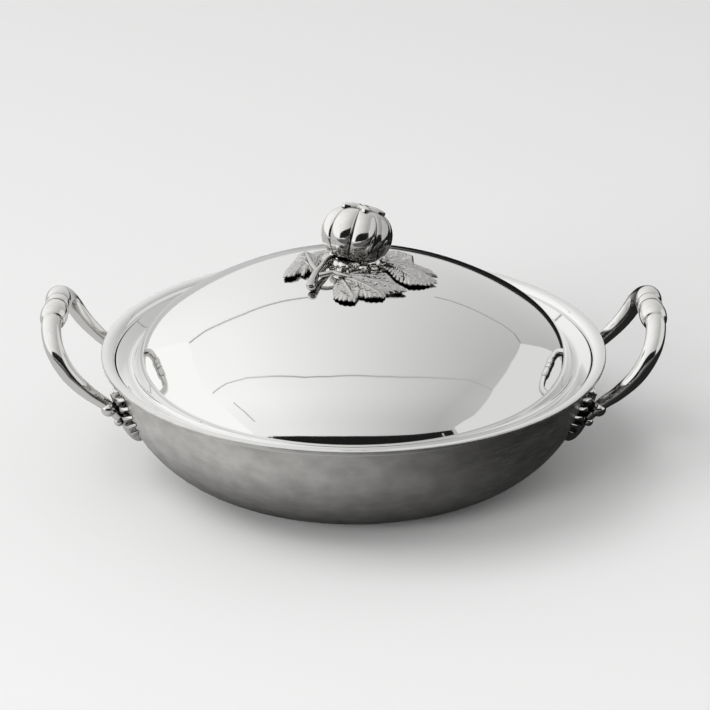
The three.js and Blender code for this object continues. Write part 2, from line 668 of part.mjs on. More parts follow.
// Washer and screw hang under the top of the dome
const WASHER_TOP = domeHeight(WASHER_RADIUS, -LID_SHEET) - FIT_GAP;
const SCREW_SEAT = WASHER_TOP - WASHER_THICK - FIT_GAP;

function washerGeometry() {
  const bottom = WASHER_TOP - WASHER_THICK;
  const corners = [
    [SCREW_HOLE, bottom],
    [WASHER_RADIUS, bottom],
    [WASHER_RADIUS, WASHER_TOP],
    [SCREW_HOLE, WASHER_TOP],
    [SCREW_HOLE, bottom],
  ];
  const profile = corners.map(([r, z]) => new THREE.Vector2(r, z));
  return turned(profile, 2 * SHANK_SIDES);
}

function screwGeometry() {
  const tip = DOME_TOP + SEAT_RISE + FIT_GAP + SCREW_GRIP;
  const crown = SCREW_SEAT - SCREW_HEAD_RISE;
  const corners = [
    [0, crown],
    [SCREW_HEAD - SCREW_CHAMFER, crown],
    [SCREW_HEAD, crown + SCREW_CHAMFER / 2],
    [SCREW_HEAD, SCREW_SEAT],
    [SCREW_SHANK, SCREW_SEAT],
    [SCREW_SHANK, tip],
    [0, tip],
  ];
  return turned(corners.map(([r, z]) => new THREE.Vector2(r, z)), SHANK_SIDES);
}

// Materials
const polished = { color: 0xd9d9d6, roughness: 0.06, metalness: 1 };
const satin = { color: 0x9b9a96, roughness: 0.32, metalness: 1 };
const cast = { color: 0xc9c8c4, roughness: 0.12, metalness: 1 };
const fastener = { color: 0xb8b8b5, roughness: 0.25, metalness: 1 };

function node(name, geometry, finish) {
  const shown = weld(geometry);
  shown.computeVertexNormals();
  const mesh = new THREE.Mesh(shown, new THREE.MeshStandardMaterial({ ...finish, flatShading: true }));
  mesh.name = name;
  return mesh;
}

const wok = new THREE.Group();
const pan = new THREE.Group();
const lid = new THREE.Group();
wok.add(pan, lid);

pan.add(node('wok_bowl', bowlGeometry(), satin));
for (const [side, half] of [['right', 0], ['left', Math.PI]]) {
  const grip = new THREE.Group();
  grip.rotation.z = half;
  grip.add(node(`handle_${side}`, handleGeometry(), cast));
  for (const spot of rivetSpots(half > 0)) {
    grip.add(node(`rivet_${side}_${spot.name}`, rivetGeometry(spot), fastener));
  }
  pan.add(grip);
}

lid.add(node('lid_shell', turned(lidProfile(), ROUND_SIDES), polished));
lid.add(node('leaf_spray', sprayGeometry(), cast));
lid.add(node('pumpkin_knob', knobGeometry(), cast));
lid.add(node('knob_washer', washerGeometry(), fastener));
lid.add(node('knob_screw', screwGeometry(), fastener));

export default wok;
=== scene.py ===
"""Looks for a two-handled steel wok with a domed lid: fine meshes, finishes, stage and camera."""
from math import acos, asin, cos, exp, hypot, pi, radians, sin, sqrt

import bmesh
import bpy
import numpy as np
from mathutils import Matrix, Vector


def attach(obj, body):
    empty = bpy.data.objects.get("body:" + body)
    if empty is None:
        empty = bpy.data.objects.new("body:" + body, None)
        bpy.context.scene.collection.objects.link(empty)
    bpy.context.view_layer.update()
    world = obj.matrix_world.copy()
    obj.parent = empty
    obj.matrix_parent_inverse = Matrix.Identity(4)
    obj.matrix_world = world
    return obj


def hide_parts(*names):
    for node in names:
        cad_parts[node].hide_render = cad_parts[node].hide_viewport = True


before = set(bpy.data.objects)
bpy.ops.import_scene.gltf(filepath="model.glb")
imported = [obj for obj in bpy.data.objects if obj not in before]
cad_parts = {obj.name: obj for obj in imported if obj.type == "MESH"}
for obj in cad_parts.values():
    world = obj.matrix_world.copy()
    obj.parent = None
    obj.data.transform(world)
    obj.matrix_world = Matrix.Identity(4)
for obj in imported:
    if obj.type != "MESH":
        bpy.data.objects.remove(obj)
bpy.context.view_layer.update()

scene = bpy.context.scene

MM = 0.001
TURN = 2 * pi
QUARTER = pi / 2
FIT_GAP = 0.3  # room between pieces, in millimetres
SHARP_ANGLE = radians(38)  # edges bent by more are not smoothed

# Bowl in millimetres: flat base, rounded wall, flare and level lip, sized as the solid is
FLAT_RADIUS = 79.5
WALL_ARC = 71.5
BOWL_SHEET = 2.5
FLARE_START = radians(10)
FLARE_END = radians(20)
FLARE_ARC = 90.0
LIP_ARC = 3.5
LIP_RUN = 2.7
NECK_RADIUS = FLAT_RADIUS + WALL_ARC
FLARE_RADIUS = FLAT_RADIUS + (WALL_ARC + FLARE_ARC) * cos(FLARE_START)
FLARE_HEIGHT = WALL_ARC - (WALL_ARC + FLARE_ARC) * sin(FLARE_START)
LIP_RADIUS = FLARE_RADIUS - (FLARE_ARC - LIP_ARC) * cos(FLARE_END)
LIP_HEIGHT = FLARE_HEIGHT + (FLARE_ARC - LIP_ARC) * sin(FLARE_END)
RIM_RADIUS = LIP_RADIUS + LIP_RUN
RIM_HEIGHT = LIP_HEIGHT + LIP_ARC + BOWL_SHEET
EDGE_ROUND = 0.8  # of the cut edge, which the solid has square
EDGE_SATIN = 0.75  # part of that rounding which is left satin
INNER_FACING = 0.5  # faces of the bowl that look up more than this lie inside it
WALL_STEPS = 64
FLARE_STEPS = 12
OUTER_LIP_STEPS = 12
INNER_LIP_STEPS = 16
EDGE_STEPS = 5
BOWL_SIDES = 256

# Lid in millimetres: dome with crown and shoulder, a groove at its foot and a flange, sized as the solid is
LID_SHEET = 1.2
LID_INSET = 9.2
LID_EDGE = RIM_RADIUS - LID_INSET
LID_FLANGE = 5.8
LID_FLANGE_RISE = 3.4
TROUGH_ARC = 3.5
DOME_RISE = 59.1
CROWN_RADIUS = 209.5
KNUCKLE_ARC = 47.3
SKIRT_INSET = 9.0
KNUCKLE_RADIUS = LID_EDGE - SKIRT_INSET - KNUCKLE_ARC
DOME_FOOT_TILT = radians(20)
SEAT_TILT = acos((FLARE_RADIUS - LID_EDGE) / (FLARE_ARC + BOWL_SHEET))
LID_SEAT = FLARE_HEIGHT + (FLARE_ARC + BOWL_SHEET) * sin(SEAT_TILT) + FIT_GAP / sin(SEAT_TILT)
DOME_TOP = LID_SEAT + LID_SHEET + DOME_RISE
CROWN_HEIGHT = DOME_TOP - CROWN_RADIUS
CROWN_END = asin(KNUCKLE_RADIUS / (CROWN_RADIUS - KNUCKLE_ARC))
KNUCKLE_HEIGHT = CROWN_HEIGHT + (CROWN_RADIUS - KNUCKLE_ARC) * cos(CROWN_END)
TROUGH_RADIUS = KNUCKLE_RADIUS + (KNUCKLE_ARC + TROUGH_ARC) * cos(DOME_FOOT_TILT)
TROUGH_HEIGHT = KNUCKLE_HEIGHT + (KNUCKLE_ARC + TROUGH_ARC) * sin(DOME_FOOT_TILT)
DOME_BLEND = 13.0  # to each side of where crown and shoulder meet, the way over which the curvature grows
DOME_SAMPLES = 4000
OUTER_LID_STEPS = (144, 24)  # on the dome and in the groove
INNER_LID_STEPS = (96, 16)
FLANGE_EDGE_STEPS = 8
LID_SIDES = 288

# Handle bar in millimetres; half of its middle line as out of the neck, off the X axis, below the rim
BAR_HALF = [(-4.6, 43, 31), (3, 44, 22.5), (13.5, 45, 14), (25, 45.5, 1.5), (33.4, 42, -13.5),
            (37, 28, -22.5)]
BAR_HEEL = BAR_HALF[2]
BAR_TOP = (36.2, 0, -25.6)
BAR_RADIUS = 6.3
BAR_FOOT_RADIUS = 3.2
BAR_TAPER = 1.5  # above 1 the bar thins mostly near its foot
BULGE_RADIUS = 8.5
BULGE_END_RADIUS = 7.3
BULGE_LENGTH = 16.0
BULGE_SHAPE = 0.7  # below 1 the bulge is full
BULGE_STEP = 0.5  # length of the step from a bulge down to the bar
RING_RADIUS = 8.1
RING_END_RADIUS = 7.75
RING_SHAPE = 6  # the higher, the flatter the ring's middle
RING_WIDTH = 8.0
GROOVE_RADIUS = 6.9
GROOVE_WIDTH = 0.9
FINE_MARGIN = 0.6  # past the bulges, still in fine steps
ORNAMENT_STEPS = 76
ARM_STEPS = 70
BAR_SIDES = 56
SPAN_STEPS = 60  # between two points of a curve, before it is stepped evenly

# Foot leaves, berries and beads of the handles, in millimetres
FOOT_AZIMUTH = radians(16.3)
FOOT_TOP = 3.0
FOOT_LENGTH = 41.0
# Part of the way down the leaf, half width
FOOT_WIDTHS = [(0, 4), (0.12, 9), (0.35, 16), (0.6, 23), (0.8, 25), (0.93, 15), (1, 4)]
FOOT_RIB = 5.4
FOOT_RIB_HALF_WIDTH = 2.2
FOOT_BAR = 3.8
FOOT_BAR_SIDES = (0.3, 0.7)  # of the wave down the leaf: gaps lie below, bars above
FOOT_BAR_SHAPE = 6
FOOT_EDGE = 0.6
FOOT_EDGE_SHAPE = 8
FOOT_CURL = 1.0
FOOT_CURL_PART = 0.25
FOOT_UNDER_CURL = 0.5
FOOT_UNDER_PART = 0.85  # of the width, covered by the underside's points
FOOT_TIP_PART = 0.08  # of the length, over which the relief grows from the upper tip
FOOT_TIP_LEAST = 0.1
FOOT_END_SHAPE = 7
FOOT_END_LEAST = 0.02
FOOT_LOBES = 6
FOOT_LOBE_CUT = 0.4
FOOT_LOBE_SWEEP = 0.55
FOOT_LOBE_STEPS = 24
FOOT_ACROSS_POINTS = 61
FOOT_UNDER_POINTS = 15
BERRY = (4.9, 15.5, 9.8)  # radius, down the wall from the neck, off the wall
BEAD = (3.1, 25.0, 6.6)
BALL_STEPS = 24
BALL_SIDES = 40

# Rivets in millimetres, sized as the solids are
RIVET_SHANK = 2.2
RIVET_HEAD = 4.8
RIVET_HEAD_RISE = 2.0
RIVET_GRIP = 3.2
RIVET_PLACES = {"upper": 0.244, "lower": 0.683}  # down the leaf, as a part of its length
RIVET_CAP_STEPS = 12
RIVET_SIDES = 32

# Fruit in millimetres
PUMPKIN_RADIUS = 22.7
PUMPKIN_HALF_HEIGHT = 16.0
PUMPKIN_CENTRE = (2.2, 1.5, 18.9)  # right, back and up from the top of the dome
PUMPKIN_LOBES = 8
PUMPKIN_GROOVE = 3.4
PUMPKIN_CORE = 9.0
PUMPKIN_RIB_END = 0.97  # ribs stop this part of the way to the axis
PUMPKIN_LEAN_BACK = radians(17)
PUMPKIN_LEAN_SIDE = radians(13)
PUMPKIN_TURN = radians(-10)
PUMPKIN_STEPS = 110
SEAM_SHAPE = 0.55  # below 1 the seams are sharp and the ribs round
LOBE_POINTS = 26
CALYX_POINTS = 5
CALYX_RADIUS = 14.5
CALYX_WAIST = 7.0
CALYX_THICK = 3.6
CALYX_SUNK = 1.0
CALYX_HOLLOW = 3.4
CALYX_STEPS = 10
SEPAL_SHAPE = 2.2
SEPAL_RIDGE = 0.6
SEPAL_RIDGE_SHAPE = 8
SEPAL_THINNING = 0.45
SEPAL_POINTS = 24

# Leaf spray in millimetres; each leaf from above: middle, root and tips of the veins, edge
SPRAY_LEAVES = [
    (
        (-28, 1), (-25, -13),
        [(-43, -15), (-40.5, -3), (-37, 10), (-30, 21), (-20, 19), (-13, 12)],
        [(-23.5, -21), (-26, -16), (-28.3, -12.5), (-31, -18), (-34, -13), (-37, -16.6), (-40.3, -17),
         (-44.2, -16), (-43.6, -7.5), (-40.5, -2), (-39, 3), (-37.6, 10.5), (-34.6, 18.5), (-32, 22),
         (-29, 23), (-26, 18.5), (-22.5, 20.5), (-18, 22), (-12.5, 18), (-7.5, 6.5), (-15.5, -1.5),
         (-18.5, -8), (-21.2, -6.5), (-23, -9.5), (-24.5, -11), (-23, -16.5)],
    ),
    (
        (-5, -9), (-4, 0),
        [(-8, -21), (-12, -10), (-1.5, -15), (2.5, -9.5)],
        [(-9, 4), (-12.8, -10), (-9.8, -18), (-8, -22.5), (-5.5, -21.8), (-1.4, -16), (2.7, -9.8),
         (4, -3), (0, 3)],
    ),
    (
        (6, -33), (-8.6, -27),
        [(-12, -46), (0.4, -51.5), (18, -46.5), (32, -38), (23.5, -26), (14, -17), (8, -14)],
        [(-9.6, -26.8), (-12.7, -35.7), (-12.6, -47.3), (-7.7, -51.8), (0.6, -53.2), (3.4, -46.6),
         (8.3, -48.8), (18.8, -47.7), (20.3, -42.6), (33.7, -38.3), (29.5, -34.1), (24, -25.3),
         (20.6, -18.3), (14, -15.5), (8.5, -22.5), (9.4, -12), (2.7, -10.5), (-5, -22.5)],
    ),
    (
        (32, -6), (17, -6),
        [(29, -26), (43, -25.5), (51.5, -18), (52.5, -10.2), (46, -3), (37, 18), (25, 23)],
        [(17.8, -8.5), (20.6, -13.2), (24.8, -22.1), (29.7, -26.9), (34.6, -29.8), (43.9, -26.5),
         (53, -18.3), (42.5, -11), (54, -10.2), (48.1, -4.5), (38.2, 2.3), (37.9, 20.1), (32.1, 23.8),
         (24.8, 24.5), (14, 14), (8.5, 3), (9.5, -4)],
    ),
]
LEAF_THICK = 2.4
LEAF_RIM = 1.4
LEAF_LIFT = 1.6
LEAF_EDGE_LIFT = 0.8
LEAF_WAVES = 7
LEAF_WAVE_RISE = 0.5
LEAF_CORNER_CUTS = (0.92, 0.75, 0.75)  # each rounds the corners of the edge once more
LEAF_HUB = 0.02
LEAF_ROUND_START = 0.92  # part of the way out, where the edge begins to round
LEAF_ROUND = 0.6
LEAF_STEPS = 34
LEAF_ROUND_STEPS = [0.95, 0.975, 0.99, 1]
LEAF_UNDER_PICK = 3  # the underside has a third of the upper side's rings
SCALLOP_DEPTH = 0.9
SCALLOP_PITCH = 3.4
SCALLOP_POINTS = 10
MAIN_VEIN = (1.7, 0.7)  # height, half width
SIDE_VEIN = (0.9, 0.45)
SIDE_VEIN_PLACES = (0.3, 0.45, 0.6, 0.75, 0.88)  # along the main vein
SIDE_VEIN_LEAN = 0.7  # radians off the main vein
SIDE_VEIN_LENGTH = 8.0
SIDE_VEIN_REACH = 1.15  # where, along the main vein, a side vein would have no length
VEIN_THINNING = 0.6
VEIN_END_SHAPE = 8
BLADE_PUFF = 1.3
BLADE_PUFF_WIDTH = 1.4

# Stalk and stems: x, y, height over the dome, radius
STALK = [(-8, 1, 3, 2), (-15.5, -3.5, 4.8, 2), (-20, -15.5, 4.6, 2.1), (-23, -23, 4.5, 2.3),
         (-25.2, -32, 3.9, 2.8), (-26.3, -36.4, 3.3, 3.1)]
PETIOLES = [
    [(-22.5, -21, 4.6, 1.6), (-26.3, -9, 4.6, 1.5), (-28.6, 4, 4.4, 1.2), (-30.4, 15, 4.2, 0.9)],
    [(-21, -26, 4.5, 1.6), (-17, -26.3, 5.2, 1.5), (-12.7, -25.5, 5.4, 1.5), (-8.6, -27.5, 4.9, 1.5),
     (-2, -30, 4.2, 1.2)],
]
STALK_TIP = 0.6  # length of the rounded tip, as a part of the radius
STALK_TIP_STEPS = [(0.35, 0.92), (0.75, 0.7), (1.0, 0.35)]  # part of the way along it, part of the radius
STALK_STEPS = 40
STALK_SIDES = 20

# Collar under the fruit, with its ruff of lumps
SEAT_RADIUS = 12.0
SEAT_RISE = 5.4
COLLAR_ROUND = 0.6
COLLAR_STEPS = 8
COLLAR_SIDES = 64
FRILL_COUNT = 10
FRILL_RADIUS = 14.2
FRILL_RISE = 2.9
FRILL_SIZE = 3.7
FRILL_UNEVEN = 0.9
FRILL_TURN_UNEVEN = 0.3
FRILL_BEATS = {"turn": 2.4, "reach": 1.7, "rise": 3.1, "size": 2.2}  # of the waves that make it uneven
LIGHTER_COLLAR_REACH = 20.0  # round the collar, where the spray is painted lighter, a painted reflection, with less painted shade in its hollows

# Screw and washer in millimetres
SCREW_SHANK = 1.6
SCREW_HEAD = 4.4
SCREW_HEAD_RISE = 3.0
SCREW_CORNER = SCREW_HEAD_RISE / 2
SCREW_SOCKET = 2.0  # radius and depth
SCREW_GRIP = 11.0
SCREW_HOLE = SCREW_SHANK + FIT_GAP
SCREW_CORNER_STEPS = 8
SCREW_SIDES = 48
WASHER_RADIUS = 8.0
WASHER_THICK = 1.2
WASHER_LOW_CORNER = 0.3
WASHER_TOP_CORNER = 0.2
WASHER_SIDES = 64

# Base tones of the finishes, and of painted shade
MIRROR_TONE = (0.86, 0.86, 0.85, 1)
SATIN_TONES = ((0.62, 0.61, 0.59, 1), (0.82, 0.81, 0.785, 1))
INNER_TONE = (0.66, 0.65, 0.63, 1)
TURNED_TONE = (0.62, 0.62, 0.61, 1)
CAST_TONE = (0.82, 0.81, 0.79, 1)
LEAF_TONE = (0.6, 0.59, 0.575, 1)
# near black, painted into the castings' recesses: painted shade, with the dark finish that polishing leaves
# there
RECESS_SHADE_TONE = (0.05, 0.048, 0.045, 1)
# painted shade, low and on the right of the fruit
FRUIT_SHADE_TONE = (0.1, 0.097, 0.092, 1)
FLOOR_TONE = (0.79, 0.79, 0.787, 1)
RECESS_SHADE_LIMIT = 0.3  # openness below which a casting is painted as dark as its recesses: painted shade
RECESS_SAMPLES = 8
# Where the fruit's painted highlight and painted shade change, in metres: up from its middle, and along x on
# its left and right
PAINTED_HIGHLIGHT_UP = (-0.006, 0.002)
PAINTED_HIGHLIGHT_LEFT = (-0.014, -0.007)
PAINTED_SHADE_RIGHT = (0.006, 0.02)

# Tent of cards, in metres: levels from left to right, and edges as (azimuth, elevation) in degrees
TENT_RADIUS = 9.0
TENT_DROP = radians(92)
TENT_STEPS = 24
TENT_SIDES = 64
TENT_LEVELS = [(0.0, 1.1), (0.25, 1.02), (0.5, 0.8), (0.675, 0.64), (0.8, 0.52), (1.0, 0.6)]
TENT_GAIN = 2  # a ramp's colours end at 1, so the levels are divided by this there and lifted again
FRONT_SHARE = 0.9
FRONT_FADE = (-0.6, -0.1)  # from the front to the middle, as parts of the tent's radius
CARD_DISTANCE = 6.0
CARD_FOOT = -2.0
# Bent upright cards: brightness, upper edge
PANELS = {
    "right_panel": (0.78, [(41, 28), (44, 30.2), (54, 36.4), (68, 40.2), (81, 41), (98, 36), (112, 29),
                           (120, 27), (127, 23)]),
    "left_panel": (1.08, [(-40, 27), (-44, 31), (-49, 34), (-62, 37), (-77, 37), (-89, 36), (-105, 32),
                          (-118, 25), (-129, 16)]),
    "dark_front": (0.012, [(129, 21), (140, 24), (150, 26), (166, 29), (180, 30), (192, 29), (208, 25),
                           (220, 19), (226, 13)]),
}
# Thin strips: brightness, half width in degrees, route
SEAMS = {
    "ceiling_seam": (0.42, 0.3, [(-86, 38), (-76, 49), (-70, 57), (-69, 65), (-70, 75), (-60, 82), (0, 86),
                                 (60, 82), (70, 75), (71, 64), (72, 54), (83, 41)]),
    "left_seam": (0.35, 0.4, [(-41, 29), (-37, 31), (-34, 34), (-30, 37), (-25, 39), (-20, 41), (-15, 43),
                              (-11, 44)]),
    "right_seam": (0.3, 0.25, [(20, 36), (23, 34), (27, 32), (31, 30), (34, 28), (37, 27), (41, 28)]),
    "left_front_seam": (0.3, 0.3, [(-101, 42), (-114, 38), (-125, 31)]),
}
FRONT_GAPS = {"right_front_gap": 134.5, "left_front_gap": 221}  # azimuths of bright slits
FRONT_GAP_TOP = 20
FRONT_GAP_NEARER = 0.97  # so that the slits stand before the dark front
FRONT_GAP_BRIGHTNESS = 0.8
FRONT_GAP_HALF_WIDTH = 0.25
# Dark level cards: brightness, from and to along x, from and to along y
DARK_CARDS = {
    "dark_card_front": (0.12, -0.9, 0.9, -1.6, -0.36),
    "dark_card_back": (0.01, 0.04, 0.7, 0.45, 0.95),
}
DARK_CARD_HEIGHT = 0.002

# Table as mirrors see it, floor and world, in metres
TABLE_HALF = 3.0
TABLE_HEIGHT = 0.001
TABLE_LEVELS = (0.57, 0.02)  # left and right of the wok; darker to the right as painted shade
TABLE_FADE = (-0.17, 0.18)
UNDER_SHADOW_LEVELS = (0.05, 1)  # share of the table's level under the wok, where it is a painted shadow, and clear of it
UNDER_SHADOW_REACH = (0.112, 0.187)
FLOOR_HALF = 8.0
AMBIENT = 0.6

# Camera: metres, degrees and pixels of a square picture
CAMERA_DISTANCE = 1.5
CAMERA_ELEVATION = radians(22.72)
IMAGE_WIDTH = 710
FOCAL_PIXELS = 2357
TARGET_PIXEL = (353.6, 344.2)  # where the middle of the rim is seen


# Places in the round, off the wall and on the dome

def angles(count):
    return [TURN * j / count for j in range(count)]


def round_point(radius, angle, height):
    """A point in metres, of sizes in millimetres."""
    return Vector((radius * cos(angle), radius * sin(angle), height)) * MM


def wall_point(down, azimuth, off):
    """A point in metres off the bowl's wall or its flare; down is measured along the wall, from the neck."""
    angle = down / WALL_ARC
    reach = FLAT_RADIUS + (WALL_ARC + off) * cos(angle)
    height = WALL_ARC - (WALL_ARC + off) * sin(angle)
    if angle < FLARE_START:
        tilt = FLARE_START + (FLARE_START - angle) * WALL_ARC / FLARE_ARC
        reach = FLARE_RADIUS - (FLARE_ARC - off) * cos(tilt)
        height = FLARE_HEIGHT + (FLARE_ARC - off) * sin(tilt)
    return round_point(reach, azimuth, height)


def dome_height(radius, offset=0.0):
    """Height in millimetres of the crown's outer face, raised along its normal."""
    return CROWN_HEIGHT + np.sqrt((CROWN_RADIUS + offset) ** 2 - radius ** 2)


# Mesh helpers

def add_object(name, data):
    added = bpy.data.objects.new(name, data)
    scene.collection.objects.link(added)
    return added


def make_object(name, points, faces):
    mesh = bpy.data.meshes.new(name)
    mesh.from_pydata([tuple(p) for p in points], [], faces)
    mesh.validate()
    whole = bmesh.new()
    whole.from_mesh(mesh)
    bmesh.ops.recalc_face_normals(whole, faces=whole.faces)
    whole.to_mesh(mesh)
    whole.free()
    mesh.shade_smooth()
    return add_object(name, mesh)


def skin(name, rings, closed_ends=True):
    """A skin over rings of points of equal count, with a fan over each end where it is closed there."""
    count = len(rings[0])
    points = [p for ring in rings for p in ring]
    faces = []
    for i in range(len(rings) - 1):
        for j in range(count):
            k = (j + 1) % count
            faces.append((i * count + j, i * count + k, (i + 1) * count + k, (i + 1) * count + j))
    if closed_ends:
        for end in (0, len(rings) - 1):
            middle = sum((Vector(p) for p in rings[end]), Vector()) / count
            points.append(middle)
            hub = len(points) - 1
            for j in range(count):
                a, b = end * count + j, end * count + (j + 1) % count
                faces.append((hub, b, a) if end == 0 else (hub, a, b))
    return make_object(name, points, faces)


def turned(profile, sides, closed=False):
    """Points and faces of a profile of (radius, height) in millimetres turned round Z."""
    points = []
    rows = []
    for radius, height in profile:
        if radius == 0:
            rows.append([len(points)] * sides)
            points.append((0, 0, height * MM))
            continue
        rows.append(list(range(len(points), len(points) + sides)))
        for angle in angles(sides):
            points.append((radius * cos(angle) * MM, radius * sin(angle) * MM, height * MM))
    if closed:
        rows.append(rows[0])
    faces = []
    for low, high in zip(rows, rows[1:]):
        for j in range(sides):
            k = (j + 1) % sides
            corners = []
            for corner in (low[j], low[k], high[k], high[j]):
                if corner not in corners:
                    corners.append(corner)
            if len(corners) > 2:
                faces.append(tuple(corners))
    return points, faces


def lathe(name, profile, sides, closed=False):
    """A turned piece whose profile ends on the axis or is closed."""
    return make_object(name, *turned(profile, sides, closed))


def arc(x, y, radius, start, end, steps):
    turns = (start + (end - start) * i / steps for i in range(steps + 1))
    return [(x + radius * cos(t), y + radius * sin(t)) for t in turns]


def join(first, others):
    """Casts closed pieces together as one mesh."""
    whole = bmesh.new()
    whole.from_mesh(first.data)
    for other in others:
        whole.from_mesh(other.data)
        bpy.data.objects.remove(other)
    whole.to_mesh(first.data)
    whole.free()
    first.data.shade_smooth()
    return first


def spline(points, samples):
    """Centripetal curve through points, resampled at parts of its length, and that length."""
    knots = [2 * points[0] - points[1]] + points + [2 * points[-1] - points[-2]]
    fine = []
    for a, b, c, d in zip(knots, knots[1:], knots[2:], knots[3:]):
        t1 = (b - a).length ** 0.5
        t2 = t1 + (c - b).length ** 0.5
        t3 = t2 + (d - c).length ** 0.5
        for i in range(SPAN_STEPS):
            t = t1 + (t2 - t1) * i / SPAN_STEPS
            ab = a.lerp(b, t / t1)
            bc = b.lerp(c, (t - t1) / (t2 - t1))
            cd = c.lerp(d, (t - t2) / (t3 - t2))
            abc = ab.lerp(bc, t / t2)
            bcd = bc.lerp(cd, (t - t1) / (t3 - t1))
            fine.append(abc.lerp(bcd, (t - t1) / (t2 - t1)))
    fine.append(points[-1].copy())
    far = [0.0]
    for p, q in zip(fine, fine[1:]):
        far.append(far[-1] + (q - p).length)
    places = np.interp(np.asarray(samples) * far[-1], far, range(len(fine)))
    out = []
    for place in places:
        i = min(int(place), len(fine) - 2)
        out.append(fine[i].lerp(fine[i + 1], place - i))
    return out, far[-1]


def tapered_bar(name, centres, radii, sides, normal):
    rings = []
    for i, centre in enumerate(centres):
        along = (centres[min(i + 1, len(centres) - 1)] - centres[max(i - 1, 0)]).normalized()
        across = (normal - along * normal.dot(along)).normalized()
        third = along.cross(across)
        rings.append([centre + (across * cos(t) + third * sin(t)) * radii[i] for t in angles(sides)])
    return skin(name, rings)


def make_ball(name, spot, radius):
    rings = []
    for i in range(1, BALL_STEPS):
        polar = pi * i / BALL_STEPS
        girth = sin(polar)
        ring = []
        for angle in angles(BALL_SIDES):
            out = Vector((girth * cos(angle), girth * sin(angle), -cos(polar)))
            ring.append(spot + out * radius)
        rings.append(ring)
    return skin(name, rings)


# Bowl and lid

def bowl_face(depth, lip_steps):
    """One face of the bowl's sheet, at a depth from its outer face, from the flat to the level lip."""
    start, end = pi - FLARE_START, pi - FLARE_END
    face = arc(FLAT_RADIUS, WALL_ARC, WALL_ARC - depth, -QUARTER, -FLARE_START, WALL_STEPS)
    face += arc(FLARE_RADIUS, FLARE_HEIGHT, FLARE_ARC + depth, start, end, FLARE_STEPS)[1:]
    face += arc(LIP_RADIUS, LIP_HEIGHT, LIP_ARC + depth, end, QUARTER, lip_steps)[1:]
    return face


def make_bowl():
    edge = RIM_RADIUS - EDGE_ROUND
    profile = [(0, 0)]
    profile += bowl_face(0, OUTER_LIP_STEPS)
    profile += arc(edge, RIM_HEIGHT - BOWL_SHEET + EDGE_ROUND, EDGE_ROUND, -QUARTER, 0, EDGE_STEPS)
    profile += arc(edge, RIM_HEIGHT - EDGE_ROUND, EDGE_ROUND, 0, QUARTER, EDGE_STEPS)
    profile += reversed(bowl_face(BOWL_SHEET, INNER_LIP_STEPS))
    profile += [(0, BOWL_SHEET)]
    return lathe("bowl_sheet", profile, BOWL_SIDES)


def running_sum(values, step):
    return np.concatenate([[0], np.cumsum((values[1:] + values[:-1]) / 2) * step])


def dome_face(depth, steps):
    """Crown and shoulder, at a depth from the outer face: the curvature grows gradually where they meet."""
    crown = CROWN_RADIUS * CROWN_END
    far = np.linspace(0, crown + KNUCKLE_ARC * (QUARTER - DOME_FOOT_TILT - CROWN_END), DOME_SAMPLES)
    blend = np.clip((far - crown) / DOME_BLEND / 2 + 0.5, 0, 1)
    slope = running_sum(1 / CROWN_RADIUS + (1 / KNUCKLE_ARC - 1 / CROWN_RADIUS) * blend, far[1])
    radius = running_sum(np.cos(slope), far[1])
    height = DOME_TOP - running_sum(np.sin(slope), far[1])
    share = far / far[-1]
    radius += share ** 2 * (KNUCKLE_RADIUS + KNUCKLE_ARC * cos(DOME_FOOT_TILT) - radius[-1])
    height += share ** 2 * (KNUCKLE_HEIGHT + KNUCKLE_ARC * sin(DOME_FOOT_TILT) - height[-1])
    spread = share + slope / slope[-1]
    picks = np.linspace(np.interp(SCREW_HOLE, radius, spread), spread[-1], steps)
    x = np.interp(picks, spread, radius - depth * np.sin(slope))
    z = np.interp(picks, spread, height - depth * np.cos(slope))
    return list(zip(x.tolist(), z.tolist()))


def lid_face(depth, dome_steps, groove_steps):
    """One face of the lid's sheet, at a depth from its outer face, from the screw hole out to the flange."""
    foot, floor = pi + DOME_FOOT_TILT, pi + QUARTER + DOME_FOOT_TILT
    face = dome_face(depth, dome_steps)
    face += arc(TROUGH_RADIUS, TROUGH_HEIGHT, TROUGH_ARC + depth, foot, floor, groove_steps)[1:]
    face.append((LID_EDGE - LID_FLANGE, LID_SEAT + LID_SHEET - LID_FLANGE_RISE - depth))
    return face


def make_lid():
    half = LID_SHEET / 2
    profile = lid_face(0, *OUTER_LID_STEPS)
    profile += arc(LID_EDGE - half, LID_SEAT + half, half, QUARTER, -QUARTER, FLANGE_EDGE_STEPS)
    profile += reversed(lid_face(LID_SHEET, *INNER_LID_STEPS))
    return lathe("lid_sheet", profile, LID_SIDES, closed=True)


# Handles

def bar_radius(far, half_length):
    """Radius of the handle bar at a distance from its middle, in millimetres."""
    groove = RING_WIDTH / 2
    bulge = groove + GROOVE_WIDTH
    end = bulge + BULGE_LENGTH
    if far <= groove:
        return RING_RADIUS + (RING_END_RADIUS - RING_RADIUS) * (far / groove) ** RING_SHAPE
    if far <= bulge:
        dip = sin(pi * (far - groove) / GROOVE_WIDTH)
        return RING_END_RADIUS + (GROOVE_RADIUS - RING_END_RADIUS) * dip
    if far <= end:
        swell = sin(pi * (far - bulge) / BULGE_LENGTH) ** BULGE_SHAPE
        return BULGE_END_RADIUS + (BULGE_RADIUS - BULGE_END_RADIUS) * swell
    share = (far - end) / (half_length - end)
    step = min(1.0, (far - end) / BULGE_STEP)
    taper = BAR_RADIUS + (BAR_FOOT_RADIUS - BAR_RADIUS) * share ** BAR_TAPER
    return BULGE_END_RADIUS + (taper - BULGE_END_RADIUS) * step


def bar_point(out, side, below):
    return Vector((NECK_RADIUS + out, side, RIM_HEIGHT - below)) * MM


